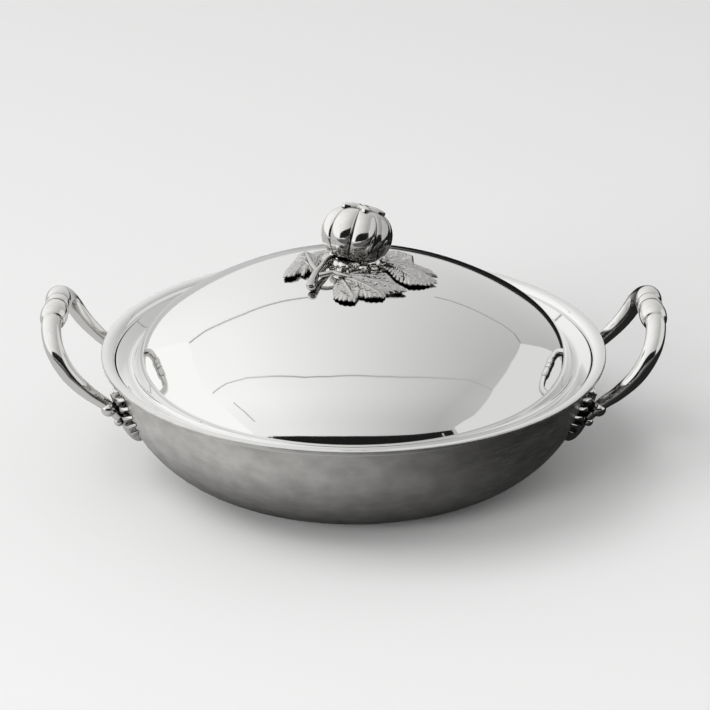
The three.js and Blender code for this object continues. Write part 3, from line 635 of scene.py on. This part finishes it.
def make_bar(name):
    front = [bar_point(out, -side, below) for out, side, below in BAR_HALF]
    rear = [bar_point(*station) for station in reversed(BAR_HALF)]
    knots = front + [bar_point(*BAR_TOP)] + rear
    _, length = spline(knots, [0, 1])
    half = length / 2 / MM
    ornament = RING_WIDTH / 2 + GROOVE_WIDTH + BULGE_LENGTH + FINE_MARGIN
    near = np.linspace(0, ornament, ORNAMENT_STEPS)
    away = np.linspace(ornament, half, ARM_STEPS)[1:]
    side = np.concatenate([near, away])
    stations = np.concatenate([-side[::-1], side[1:]])
    centres, _ = spline(knots, 0.5 + stations / half / 2)
    radii = [bar_radius(abs(s), half) * MM for s in stations]
    heel_out, _, heel_below = BAR_HEEL
    rise = bar_point(*BAR_TOP) - bar_point(heel_out, 0, heel_below)
    normal = Vector((0, 1, 0)).cross(rise).normalized()
    return tapered_bar(name, centres, radii, BAR_SIDES, normal)


def foot_leaf_width(share):
    width = np.interp(share, *zip(*FOOT_WIDTHS))
    notch = FOOT_LOBE_CUT * (0.5 - 0.5 * cos(TURN * FOOT_LOBES * share)) ** 2
    return width * (1 - notch)


def foot_leaf_bar(share):
    """1 on a bar across the leaf and 0 in a gap, with a smooth step between."""
    low, high = FOOT_BAR_SIDES
    crest = 0.5 + 0.5 * cos(TURN * FOOT_LOBES * share)
    bar = min(1, max(0, (crest - low) / (high - low)))
    return bar * bar * (3 - 2 * bar)


def foot_leaf_ends(share):
    """Share of the relief that is left near the upper tip and the lower end of a leaf."""
    tip = min(1, FOOT_TIP_LEAST + share / FOOT_TIP_PART)
    end = max(FOOT_END_LEAST, 1 - share ** FOOT_END_SHAPE)
    return sqrt(end * tip)


def foot_leaf_point(share, span, azimuth, reach, off):
    down = FOOT_TOP + share * FOOT_LENGTH - FOOT_LOBE_SWEEP * abs(span) * sqrt(share)
    return wall_point(down, azimuth + span / reach, off)


def make_foot_leaf(name, side):
    """A leaf on the wall: a midrib with stout bars across, parted by deep gaps."""
    azimuth = side * FOOT_AZIMUTH
    reach = wall_point(FOOT_TOP + FOOT_LENGTH / 2, 0, 0).x / MM
    across = np.linspace(-1, 1, FOOT_ACROSS_POINTS)
    under = np.linspace(FOOT_UNDER_PART, -FOOT_UNDER_PART, FOOT_UNDER_POINTS)
    steps = FOOT_LOBES * FOOT_LOBE_STEPS
    rings = []
    for i in range(steps + 1):
        share = i / steps
        width = foot_leaf_width(share)
        bar = foot_leaf_bar(share)
        ends = foot_leaf_ends(share)
        curl = FOOT_CURL * max(0, 1 - share / FOOT_CURL_PART) ** 2
        ring = []
        for part in across:
            rib = FOOT_RIB * exp(-(part * width / FOOT_RIB_HALF_WIDTH) ** 2)
            rung = FOOT_BAR * bar * (1 - part ** FOOT_BAR_SHAPE)
            rise = (FOOT_EDGE * (1 - part ** FOOT_EDGE_SHAPE) + max(rib, rung)) * ends
            ring.append(foot_leaf_point(share, part * width, azimuth, reach, FIT_GAP + rise + curl))
        off = FIT_GAP + curl * FOOT_UNDER_CURL
        ring += [foot_leaf_point(share, part * width, azimuth, reach, off) for part in under]
        rings.append(ring)
    return skin(name, rings)


def make_handle(name):
    """The right handle; its foot leaves have a finish of their own, whose painted shade reaches further into
    their recesses.
    """
    pieces = []
    for side in (-1, 1):
        azimuth = side * FOOT_AZIMUTH
        leaf = make_foot_leaf("foot_leaf", side)
        for face in leaf.data.polygons:
            face.material_index = 1
        pieces.append(leaf)
        for radius, down, off in (BERRY, BEAD):
            pieces.append(make_ball("berry", wall_point(down, azimuth, off), radius * MM))
    return join(make_bar(name), pieces)


def make_rivet(name, down, azimuth):
    hollow = RIVET_HEAD ** 2 / (2 * (WALL_ARC - BOWL_SHEET))
    seat = -BOWL_SHEET - FIT_GAP - hollow
    crown = seat - RIVET_HEAD_RISE
    cap = (RIVET_HEAD ** 2 + RIVET_HEAD_RISE ** 2) / (2 * RIVET_HEAD_RISE)
    reach = asin(RIVET_HEAD / cap)
    profile = arc(0, crown + cap, cap, -QUARTER, -QUARTER + reach, RIVET_CAP_STEPS)
    profile[0] = (0, crown)
    profile += [(RIVET_HEAD, seat), (RIVET_SHANK, seat), (RIVET_SHANK, RIVET_GRIP), (0, RIVET_GRIP)]
    rivet = lathe(name, profile, RIVET_SIDES)
    spot = wall_point(down, azimuth, 0)
    outward = (wall_point(down, azimuth, 1) - spot).normalized()
    rivet.data.transform(outward.to_track_quat("Z", "Y").to_matrix().to_4x4())
    rivet.data.transform(Matrix.Translation(spot))
    return rivet


# Knob

def make_pumpkin(name):
    around = PUMPKIN_LOBES * LOBE_POINTS
    swell = PUMPKIN_RADIUS - PUMPKIN_CORE
    last = PUMPKIN_RIB_END * acos(-PUMPKIN_CORE / swell)
    rings = []
    for i in range(PUMPKIN_STEPS + 1):
        polar = last * (2 * i / PUMPKIN_STEPS - 1)
        girth = PUMPKIN_CORE + swell * cos(polar)
        height = PUMPKIN_HALF_HEIGHT * sin(polar)
        ring = []
        for angle in angles(around):
            seam = 1 - abs(sin(PUMPKIN_LOBES * angle / 2)) ** SEAM_SHAPE
            radius = girth * (1 - PUMPKIN_GROOVE * seam / PUMPKIN_RADIUS)
            ring.append(round_point(radius, angle, height))
        rings.append(ring)
    return skin(name, rings)


def make_calyx(name):
    """A ring of pointed sepals on the crown."""
    around = CALYX_POINTS * SEPAL_POINTS
    shares = [i / CALYX_STEPS for i in range(CALYX_STEPS + 1)]
    upper = [(share, 1) for share in shares]
    lower = [(share, 0) for share in reversed(shares)]
    rings = []
    for share, top in upper + lower:
        ring = []
        for angle in angles(around):
            fold = abs(cos(CALYX_POINTS * angle / 2))
            edge = CALYX_WAIST + (CALYX_RADIUS - CALYX_WAIST) * fold ** SEPAL_SHAPE
            radius = CALYX_HOLLOW + (edge - CALYX_HOLLOW) * share
            ridge = SEPAL_RIDGE * fold ** SEPAL_RIDGE_SHAPE * (1 - share)
            thick = CALYX_THICK * (1 - SEPAL_THINNING * share ** 3)
            height = PUMPKIN_HALF_HEIGHT - CALYX_SUNK + top * (thick + ridge)
            ring.append(round_point(radius, angle, height))
        rings.append(ring)
    rings.append(rings[0])
    return skin(name, rings, closed_ends=False)


def make_knob():
    """The fruit, leaning over, with a flat under it for the collar."""
    fruit = join(make_pumpkin("pumpkin_casting"), [make_calyx("calyx")])
    lean = Matrix.Rotation(-PUMPKIN_LEAN_BACK, 4, "X") @ Matrix.Rotation(PUMPKIN_LEAN_SIDE, 4, "Y")
    centre = Matrix.Translation((Vector(PUMPKIN_CENTRE) + Vector((0, 0, DOME_TOP))) * MM)
    fruit.data.transform(centre @ lean @ Matrix.Rotation(PUMPKIN_TURN, 4, "Z"))
    seat = (DOME_TOP + SEAT_RISE + FIT_GAP) * MM
    for corner in fruit.data.vertices:
        corner.co.z = max(corner.co.z, seat)
    return fruit


def leaf_edge(middle, corners):
    """Edge of a spray leaf as x and y: rounded lobes with small scallops."""
    edge = np.array(corners, float)
    for near in LEAF_CORNER_CUTS:
        after = np.roll(edge, -1, axis=0)
        pair = [edge * near + after * (1 - near), edge * (1 - near) + after * near]
        edge = np.stack(pair, axis=1).reshape(-1, 2)
    edge = np.vstack([edge, edge[:1]])
    far = np.concatenate([[0], np.cumsum(np.linalg.norm(np.diff(edge, axis=0), axis=1))])
    scallops = round(far[-1] / SCALLOP_PITCH)
    places = np.linspace(0, 1, scallops * SCALLOP_POINTS, endpoint=False)
    x = np.interp(places * far[-1], far, edge[:, 0])
    y = np.interp(places * far[-1], far, edge[:, 1])
    inward = np.stack([middle[0] - x, middle[1] - y])
    inward = inward / np.linalg.norm(inward, axis=0)
    depth = SCALLOP_DEPTH * (1 - np.abs(np.sin(np.pi * scallops * places)))
    return x + inward[0] * depth, y + inward[1] * depth


def vein_segments(root, tips):
    """Main veins from the root to each tip, and short side veins: start, end, height and half width."""
    root = np.array(root, float)
    segments = []
    for tip in tips:
        run = np.array(tip, float) - root
        segments.append((root, root + run, *MAIN_VEIN))
        along = run / np.linalg.norm(run)
        for share in SIDE_VEIN_PLACES:
            for lean in (-SIDE_VEIN_LEAN, SIDE_VEIN_LEAN):
                way = np.array((along[0] * cos(lean) - along[1] * sin(lean),
                                along[0] * sin(lean) + along[1] * cos(lean)))
                start = root + run * share
                end = start + way * SIDE_VEIN_LENGTH * (SIDE_VEIN_REACH - share)
                segments.append((start, end, *SIDE_VEIN))
    return segments


def vein_relief(x, y, segments):
    """Raised veins, with the blade puffed up between them."""
    relief = np.zeros_like(x)
    nearest = np.full_like(x, np.inf)
    for start, end, rise, half in segments:
        run = end - start
        share = np.clip(((x - start[0]) * run[0] + (y - start[1]) * run[1]) / (run @ run), 0, 1)
        off = np.hypot(x - start[0] - share * run[0], y - start[1] - share * run[1])
        relief = np.maximum(relief, rise * (1 - VEIN_THINNING * share) * np.exp(-(off / half) ** 2))
        nearest = np.minimum(nearest, off)
    return relief + BLADE_PUFF * (1 - np.exp(-(nearest / BLADE_PUFF_WIDTH) ** 2))


def spray_points(x, y, over):
    """Points over the dome, as a list of tuples in metres."""
    height = dome_height(np.hypot(x, y), FIT_GAP + over)
    return list(zip((x * MM).tolist(), (y * MM).tolist(), (height * MM).tolist()))


def make_spray_leaf(name, middle, root, tips, corners):
    edge_x, edge_y = leaf_edge(middle, corners)
    segments = vein_segments(root, tips)
    waves = np.sin(np.linspace(0, TURN * LEAF_WAVES, len(edge_x), endpoint=False))
    upper = []
    lower = []
    for share in [*np.linspace(LEAF_HUB, LEAF_ROUND_START, LEAF_STEPS), *LEAF_ROUND_STEPS]:
        x = middle[0] + share * (edge_x - middle[0])
        y = middle[1] + share * (edge_y - middle[1])
        lift = LEAF_LIFT + (LEAF_EDGE_LIFT - LEAF_LIFT) * share ** 2 + LEAF_WAVE_RISE * share ** 3 * waves
        rounding = LEAF_ROUND * max(0, (share - LEAF_ROUND_START) / (1 - LEAF_ROUND_START)) ** 2
        thick = LEAF_THICK + (LEAF_RIM - LEAF_THICK) * share - rounding
        relief = vein_relief(x, y, segments) * (1 - share ** VEIN_END_SHAPE)
        upper.append(spray_points(x, y, lift + thick + relief))
        lower.append(spray_points(x, y, lift + rounding / 2))
    return skin(name, upper + lower[::-LEAF_UNDER_PICK])


def make_stalk(name, stations):
    knots = []
    for x, y, over, _ in stations:
        knots.append(Vector((x, y, float(dome_height(hypot(x, y), FIT_GAP + over)))) * MM)
    samples = np.linspace(0, 1, STALK_STEPS)
    centres, _ = spline(knots, samples)
    station_radii = [radius * MM for _, _, _, radius in stations]
    radii = list(np.interp(samples, np.linspace(0, 1, len(stations)), station_radii))
    end = radii[-1]
    tip = (centres[-1] - centres[-2]).normalized()
    for far, part in STALK_TIP_STEPS:
        centres.append(knots[-1] + tip * end * far * STALK_TIP)
        radii.append(end * part)
    return tapered_bar(name, centres, radii, STALK_SIDES, Vector((0, 0, 1)))


def make_collar(name):
    """The disc that the fruit sits on."""
    profile = []
    for i in range(COLLAR_STEPS + 1):
        radius = SEAT_RADIUS * i / COLLAR_STEPS
        profile.append((radius, float(dome_height(radius, FIT_GAP))))
    top = DOME_TOP + SEAT_RISE
    profile += [(SEAT_RADIUS, top - COLLAR_ROUND), (SEAT_RADIUS - COLLAR_ROUND, top), (0, top)]
    return lathe(name, profile, COLLAR_SIDES)


def make_frill():
    """A ruff of small uneven lumps round the collar, under the fruit."""
    lumps = []
    for i in range(FRILL_COUNT):
        wave = {name: sin(beat * i) for name, beat in FRILL_BEATS.items()}
        angle = TURN * (i + FRILL_TURN_UNEVEN * wave["turn"]) / FRILL_COUNT
        reach = FRILL_RADIUS + FRILL_UNEVEN * wave["reach"]
        height = float(dome_height(reach)) + FRILL_RISE + FRILL_UNEVEN * wave["rise"]
        spot = round_point(reach, angle, height)
        lumps.append(make_ball("frill", spot, (FRILL_SIZE + FRILL_UNEVEN * wave["size"]) * MM))
    return lumps


def make_spray():
    """Leaves, stalk, stems, collar and ruff in one casting; round the collar it is painted lighter, a
    painted reflection, with less painted shade.
    """
    collar = make_collar("spray_casting")
    pieces = [make_spray_leaf("spray_leaf", *leaf) for leaf in SPRAY_LEAVES]
    pieces += [make_stalk("stalk", stations) for stations in [STALK] + PETIOLES]
    pieces += make_frill()
    spray = join(collar, pieces)
    for face in spray.data.polygons:
        if hypot(face.center.x, face.center.y) < LIGHTER_COLLAR_REACH * MM:
            face.material_index = 1
    return spray


def make_washer():
    """The washer under the lid, and the height in millimetres of the screw's seat."""
    top = float(dome_height(WASHER_RADIUS, -LID_SHEET)) - FIT_GAP
    low = top - WASHER_THICK
    profile = [
        (SCREW_HOLE, low),
        (WASHER_RADIUS - WASHER_LOW_CORNER, low),
        (WASHER_RADIUS, low + WASHER_LOW_CORNER),
        (WASHER_RADIUS, top - WASHER_TOP_CORNER),
        (WASHER_RADIUS - WASHER_TOP_CORNER, top),
        (SCREW_HOLE, top),
    ]
    return lathe("washer_disc", profile, WASHER_SIDES, closed=True), low - FIT_GAP


def make_screw(seat):
    tip = DOME_TOP + SEAT_RISE + FIT_GAP + SCREW_GRIP
    crown = seat - SCREW_HEAD_RISE
    bend = SCREW_HEAD - SCREW_CORNER
    profile = [(0, crown + SCREW_SOCKET), (SCREW_SOCKET, crown + SCREW_SOCKET), (SCREW_SOCKET, crown)]
    profile += arc(bend, crown + SCREW_CORNER, SCREW_CORNER, -QUARTER, 0, SCREW_CORNER_STEPS)
    profile += [(SCREW_HEAD, seat), (SCREW_SHANK, seat), (SCREW_SHANK, tip), (0, tip)]
    return lathe("screw_body", profile, SCREW_SIDES)


# Finishes

def feed(node, inputs):
    """Sets a node's inputs by name or place: a socket is linked, a plain value is kept."""
    for name, value in inputs.items():
        if isinstance(value, bpy.types.NodeSocket):
            node.id_data.links.new(value, node.inputs[name])
        else:
            node.inputs[name].default_value = value
    return node


def add_node(tree, kind, inputs):
    return feed(tree.nodes.new(f"ShaderNode{kind}"), inputs)


def add_place(tree):
    """Sockets for the place on a piece: its vector, and x, y and z apart."""
    spot = add_node(tree, "TexCoord", {}).outputs["Object"]
    return spot, *add_node(tree, "SeparateXYZ", {"Vector": spot}).outputs


def add_noise(tree, scale, detail, stretch=(1, 1, 1)):
    spot = add_node(tree, "TexCoord", {}).outputs["Object"]
    mapped = add_node(tree, "Mapping", {"Vector": spot, "Scale": stretch}).outputs["Vector"]
    return add_node(tree, "TexNoise", {"Vector": mapped, "Scale": scale, "Detail": detail}).outputs["Fac"]


def add_range(value, low, high, start=0.3, end=0.7):
    """Low to high while a value goes from start to end; noise mostly lies between the ends set here."""
    inputs = {"Value": value, "From Min": start, "From Max": end, "To Min": low, "To Max": high}
    return add_node(value.id_data, "MapRange", inputs).outputs["Result"]


def add_mix(factor, low, high):
    """A blend of two colours, each a tone or a socket."""
    mix = add_node(factor.id_data, "Mix", {})
    mix.data_type = "RGBA"
    return feed(mix, {"Factor": factor, "A": low, "B": high}).outputs["Result"]


def add_math(operation, first, second):
    node = add_node(first.id_data, "Math", {})
    node.operation = operation
    node.use_clamp = True
    return feed(node, {0: first, 1: second}).outputs["Value"]


def add_bump(height, strength, distance):
    inputs = {"Height": height, "Strength": strength, "Distance": distance}
    return add_node(height.id_data, "Bump", inputs).outputs["Normal"]


def new_material(name):
    material = bpy.data.materials.new(name)
    material.use_nodes = True
    return material, material.node_tree


def finish(tree, tone, roughness, normal):
    """Makes a metal of a tone, a roughness and a normal, each a plain value or a socket."""
    look = {"Metallic": 1, "Base Color": tone, "Roughness": roughness, "Normal": normal}
    feed(tree.nodes["Principled BSDF"], look)


def mirror_steel():
    """Polished sheet: faint smears in the gloss and a hardly visible waviness."""
    material, tree = new_material("mirror_steel")
    smears = add_range(add_noise(tree, scale=22, detail=5), low=0.025, high=0.06)
    waves = add_noise(tree, scale=14, detail=2)
    finish(tree, MIRROR_TONE, smears, add_bump(waves, strength=0.03, distance=0.0006))
    return material


def satin_steel():
    """Outside of the bowl: hand-rubbed, softly mottled grey."""
    material, tree = new_material("satin_steel")
    blotches = add_noise(tree, scale=75, detail=9, stretch=(1, 1, 1.4))
    mottled = add_mix(add_range(blotches, low=0, high=1), *SATIN_TONES)
    rubbed = add_noise(tree, scale=90, detail=7, stretch=(1, 1, 6))
    gloss = add_range(rubbed, low=0.27, high=0.42)
    finish(tree, mottled, gloss, add_bump(rubbed, strength=0.08, distance=0.0005))
    return material


def inner_steel():
    """Inside of the bowl: fine rings left by spinning."""
    material, tree = new_material("inner_steel")
    rings = add_noise(tree, scale=260, detail=4, stretch=(0.02, 0.02, 1))
    gloss = add_range(rings, low=0.16, high=0.3)
    finish(tree, INNER_TONE, gloss, add_bump(rings, strength=0.1, distance=0.0003))
    return material


def turned_steel():
    """Rivets, washer and screw: plain turned metal."""
    material, tree = new_material("turned_steel")
    grain = add_noise(tree, scale=500, detail=4)
    gloss = add_range(grain, low=0.18, high=0.34)
    finish(tree, TURNED_TONE, gloss, add_bump(grain, strength=0.08, distance=0.0002))
    return material


def cast_metal(name, recess_reach, open_share=0.8, tone=CAST_TONE, grain_scale=300, gloss=(0.05, 0.14)):
    """Polished casting, painted dark in its recesses: painted shade, with the dark finish left where the
    polishing wheel can't reach.
    """
    material, tree = new_material(name)
    hollow = add_node(tree, "AmbientOcclusion", {"Distance": recess_reach})
    hollow.samples = RECESS_SAMPLES
    shade = add_range(hollow.outputs["AO"], low=0, high=1, start=RECESS_SHADE_LIMIT, end=open_share)
    grain = add_range(add_noise(tree, grain_scale, detail=6), *gloss)
    bump = add_bump(add_noise(tree, scale=120, detail=3), strength=0.06, distance=0.0004)
    finish(tree, add_mix(shade, RECESS_SHADE_TONE, tone), grain, bump)
    return material


def fruit_metal():
    """Polished; a painted highlight on top and on the left, and mottled painted shade low on the right."""
    material = cast_metal("fruit_metal", recess_reach=0.006)
    tree = material.node_tree
    _, x, _, z = add_place(tree)
    middle = (DOME_TOP + PUMPKIN_CENTRE[2]) * MM
    high = add_range(z, 0, 1, *(middle + rise for rise in PAINTED_HIGHLIGHT_UP))
    left = add_range(x, 0.8, 0, *PAINTED_HIGHLIGHT_LEFT)
    mottled = add_range(add_noise(tree, scale=160, detail=5), low=0, high=0.45, start=0.42, end=0.75)
    shaded_right = add_range(x, 0, 0.4, *PAINTED_SHADE_RIGHT)
    # painted light: highlight on top and on the left, mottled by noise, less to the right as painted shade
    bright = add_math("ADD", add_math("ADD", high, left), mottled)
    bright = add_math("SUBTRACT", bright, shaded_right)
    base = tree.nodes["Principled BSDF"].inputs["Base Color"]
    tree.links.new(add_mix(bright, FRUIT_SHADE_TONE, base.links[0].from_socket), base)
    return material


# Assembly

def place(piece, node, body, slot, *materials):
    piece.data.set_sharp_from_angle(angle=SHARP_ANGLE)
    for material in materials:
        piece.data.materials.append(material)
    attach(piece, body)
    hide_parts(node)
    return piece


def finish_bowl(bowl):
    """Satin outside and on the cut edge (0), polished lip (1), spun inside (2)."""
    for face in bowl.data.polygons:
        centre = face.center
        radius = hypot(centre.x, centre.y) / MM
        height = centre.z / MM
        outward = face.normal.x * centre.x + face.normal.y * centre.y
        if radius > RIM_RADIUS - EDGE_SATIN * EDGE_ROUND:
            face.material_index = 0
        elif height > LIP_HEIGHT and radius > NECK_RADIUS - BOWL_SHEET:
            face.material_index = 1
        elif outward < 0 or face.normal.z > INNER_FACING:
            face.material_index = 2


mirror = mirror_steel()
satin = satin_steel()
inner = inner_steel()
handle_metal = cast_metal("handle_metal", recess_reach=0.005)
# the feet: painted shade reaching further into the recesses than on the bar
foot_metal_deeper_shade = cast_metal("foot_metal_deeper_shade", recess_reach=0.006)
fruit = fruit_metal()
leaf = cast_metal("leaf_metal", 0.0035, open_share=0.92, tone=LEAF_TONE, grain_scale=260, gloss=(0.08, 0.16))
# round the collar: a lighter tone as a painted reflection, and painted shade only in the smallest recesses
ruff = cast_metal("ruff_metal", recess_reach=0.0006, open_share=0.7)
fastener = turned_steel()

bowl_sheet = place(make_bowl(), "wok_bowl", "pan", "bowl_steel", satin, mirror, inner)
finish_bowl(bowl_sheet)
place(make_lid(), "lid_shell", "lid", "lid_steel", mirror)

right_handle = make_handle("right_handle_casting")
left_handle = add_object("left_handle_casting", right_handle.data.copy())
left_handle.data.transform(Matrix.Rotation(pi, 4, "Z"))
place(right_handle, "handle_right", "pan", "handle_casting", handle_metal, foot_metal_deeper_shade)
place(left_handle, "handle_left", "pan", "handle_casting", handle_metal, foot_metal_deeper_shade)

for hand, half in (("right", 0), ("left", pi)):
    front = -1 if hand == "right" else 1
    for end, side in (("front", front), ("rear", -front)):
        for level, share in RIVET_PLACES.items():
            spot = f"{hand}_{end}_{level}"
            down = FOOT_TOP + share * FOOT_LENGTH
            rivet = make_rivet(f"rivet_{spot}_turned", down, half + side * FOOT_AZIMUTH)
            place(rivet, f"rivet_{spot}", "pan", "fastener_steel", fastener)

place(make_spray(), "leaf_spray", "lid", "knob_casting", leaf, ruff)
place(make_knob(), "pumpkin_knob", "lid", "knob_casting", fruit)
washer, screw_seat = make_washer()
place(washer, "knob_washer", "lid", "fastener_steel", fastener)
place(make_screw(screw_seat), "knob_screw", "lid", "fastener_steel", fastener)


# Stage

def make_card(name, points, faces, brightness=1):
    """A card of the light tent, which only mirrors see."""
    card = make_object(name, points, faces)
    material, tree = new_material(name)
    tree.nodes.clear()
    glow = add_node(tree, "Emission", {"Color": (1, 1, 1, 1), "Strength": brightness})
    add_node(tree, "OutputMaterial", {"Surface": glow.outputs["Emission"]})
    card.data.materials.append(material)
    card.visible_camera = False
    card.visible_diffuse = False
    card.visible_shadow = False
    return card


def level_square(x0, x1, y0, y1, z):
    """Points and the one face of a level rectangle."""
    return [(x0, y0, z), (x1, y0, z), (x1, y1, z), (x0, y1, z)], [(0, 1, 2, 3)]


def make_table():
    """The table top as mirrors see it: grey, with painted shade darker to the right and a painted shadow
    dark under the wok.
    """
    square = level_square(-TABLE_HALF, TABLE_HALF, -TABLE_HALF, TABLE_HALF, TABLE_HEIGHT)
    tree = make_card("table_top", *square).data.materials[0].node_tree
    spot, x, _, _ = add_place(tree)
    reach = add_node(tree, "VectorMath", {0: spot})
    reach.operation = "LENGTH"
    level = add_range(x, *TABLE_LEVELS, *TABLE_FADE)
    level.node.interpolation_type = "SMOOTHSTEP"
    # painted shadow of the wok on the table, as mirrors see it
    clear = add_range(reach.outputs["Value"], *UNDER_SHADOW_LEVELS, *UNDER_SHADOW_REACH)
    feed(tree.nodes["Emission"], {"Strength": add_math("MULTIPLY", level, clear)})


def make_tent():
    """A white tent which only mirrors see: brightest on the left, greyer to the right and in front."""
    size = TENT_RADIUS / MM
    profile = [(size * sin(t), size * cos(t)) for t in np.linspace(0, TENT_DROP, TENT_STEPS)]
    tree = make_card("tent", *turned(profile, TENT_SIDES)).data.materials[0].node_tree
    _, x, y, _ = add_place(tree)
    across = add_range(x, low=0, high=1, start=-TENT_RADIUS, end=TENT_RADIUS)
    ramp = add_node(tree, "ValToRGB", {"Fac": across})
    stops = ramp.color_ramp.elements
    for position, _ in TENT_LEVELS[1:-1]:
        stops.new(position)
    for stop, (_, level) in zip(stops, TENT_LEVELS):
        tone = level / TENT_GAIN
        stop.color = (tone, tone, tone, 1)
    start, end = (part * TENT_RADIUS for part in FRONT_FADE)
    front = add_range(y, TENT_GAIN * FRONT_SHARE, TENT_GAIN, start, end)
    feed(tree.nodes["Emission"], {"Color": ramp.outputs["Color"], "Strength": front})


def toward(azimuth, elevation):
    """A place among the cards: azimuth from the rear, right positive, both in degrees."""
    turn, rise = radians(azimuth), radians(elevation)
    flat = cos(rise)
    way = Vector((sin(turn) * flat, cos(turn) * flat, sin(rise)))
    return way * CARD_DISTANCE + Vector((0, 0, RIM_HEIGHT * MM))


def strip_faces(count):
    """Faces of a strip between two rows of points that take turns."""
    return [(2 * i, 2 * i + 2, 2 * i + 3, 2 * i + 1) for i in range(count - 1)]


def wall_card(name, edge, brightness):
    """A bent upright card round the wok, from its foot up to an edge of (azimuth, elevation) points."""
    points = []
    for azimuth, elevation in edge:
        points += [toward(azimuth, CARD_FOOT), toward(azimuth, elevation)]
    make_card(name, points, strip_faces(len(edge)), brightness)


def seam_card(name, route, half_width, brightness, nearer=1.0):
    """A thin strip along a route of (azimuth, elevation) points, as wide in degrees all along."""
    middle = Vector((0, 0, RIM_HEIGHT * MM))
    places = [middle + (toward(*spot) - middle) * nearer for spot in route]
    points = []
    for i, spot in enumerate(places):
        along = (places[min(i + 1, len(places) - 1)] - places[max(i - 1, 0)]).normalized()
        out = spot - middle
        across = along.cross(out).normalized() * out.length * radians(half_width)
        points += [spot - across, spot + across]
    make_card(name, points, strip_faces(len(places)), brightness)


def make_floor():
    floor = make_object("floor", *level_square(-FLOOR_HALF, FLOOR_HALF, -FLOOR_HALF, FLOOR_HALF, 0))
    material, tree = new_material("pale_floor")
    look = {"Base Color": FLOOR_TONE, "Roughness": 0.9, "Specular IOR Level": 0}
    feed(tree.nodes["Principled BSDF"], look)
    floor.data.materials.append(material)


def make_world():
    world = bpy.data.worlds.new("ambient")
    scene.world = world
    world.use_nodes = True
    feed(world.node_tree.nodes["Background"], {"Color": (AMBIENT, AMBIENT, AMBIENT, 1)})


def make_lamp(name, size, power, location, target):
    light = bpy.data.lights.new(name, "AREA")
    light.size = size
    light.energy = power
    lamp = add_object(name, light)
    lamp.location = location
    lamp.rotation_euler = (Vector(target) - Vector(location)).to_track_quat("-Z", "Y").to_euler()
    lamp.visible_glossy = False


def make_camera():
    """The photograph's view: a long lens from the front, a little above."""
    target = Vector((0, 0, RIM_HEIGHT * MM))
    forward = Vector((0, cos(CAMERA_ELEVATION), -sin(CAMERA_ELEVATION)))
    right = Vector((1, 0, 0))
    up = Vector((0, sin(CAMERA_ELEVATION), cos(CAMERA_ELEVATION)))
    data = bpy.data.cameras.new("camera")
    data.lens = FOCAL_PIXELS / IMAGE_WIDTH * data.sensor_width
    camera = add_object("camera", data)
    camera.location = target - forward * CAMERA_DISTANCE
    middle = IMAGE_WIDTH / 2
    shift = right * (middle - TARGET_PIXEL[0]) - up * (middle - TARGET_PIXEL[1])
    aim = target + shift * CAMERA_DISTANCE / FOCAL_PIXELS
    camera.rotation_euler = (aim - camera.location).to_track_quat("-Z", "Y").to_euler()
    scene.camera = camera


make_floor()
make_world()
make_table()
make_tent()
for name, (brightness, edge) in PANELS.items():
    wall_card(name, edge, brightness)
for name, (brightness, half_width, route) in SEAMS.items():
    seam_card(name, route, half_width, brightness)
for name, azimuth in FRONT_GAPS.items():
    slit = [(azimuth, CARD_FOOT), (azimuth, FRONT_GAP_TOP)]
    seam_card(name, slit, FRONT_GAP_HALF_WIDTH, FRONT_GAP_BRIGHTNESS, FRONT_GAP_NEARER)
for name, (brightness, *sides) in DARK_CARDS.items():
    make_card(name, *level_square(*sides, DARK_CARD_HEIGHT), brightness)
make_lamp("key", size=3.6, power=120, location=(-2.9, -0.9, 4.4), target=(0, 0, 0.08))
make_lamp("fill", size=1.8, power=110, location=(-2.7, -3.4, 1.7), target=(0, 0, 0.04))
make_camera()
scene.view_settings.view_transform = "Standard"
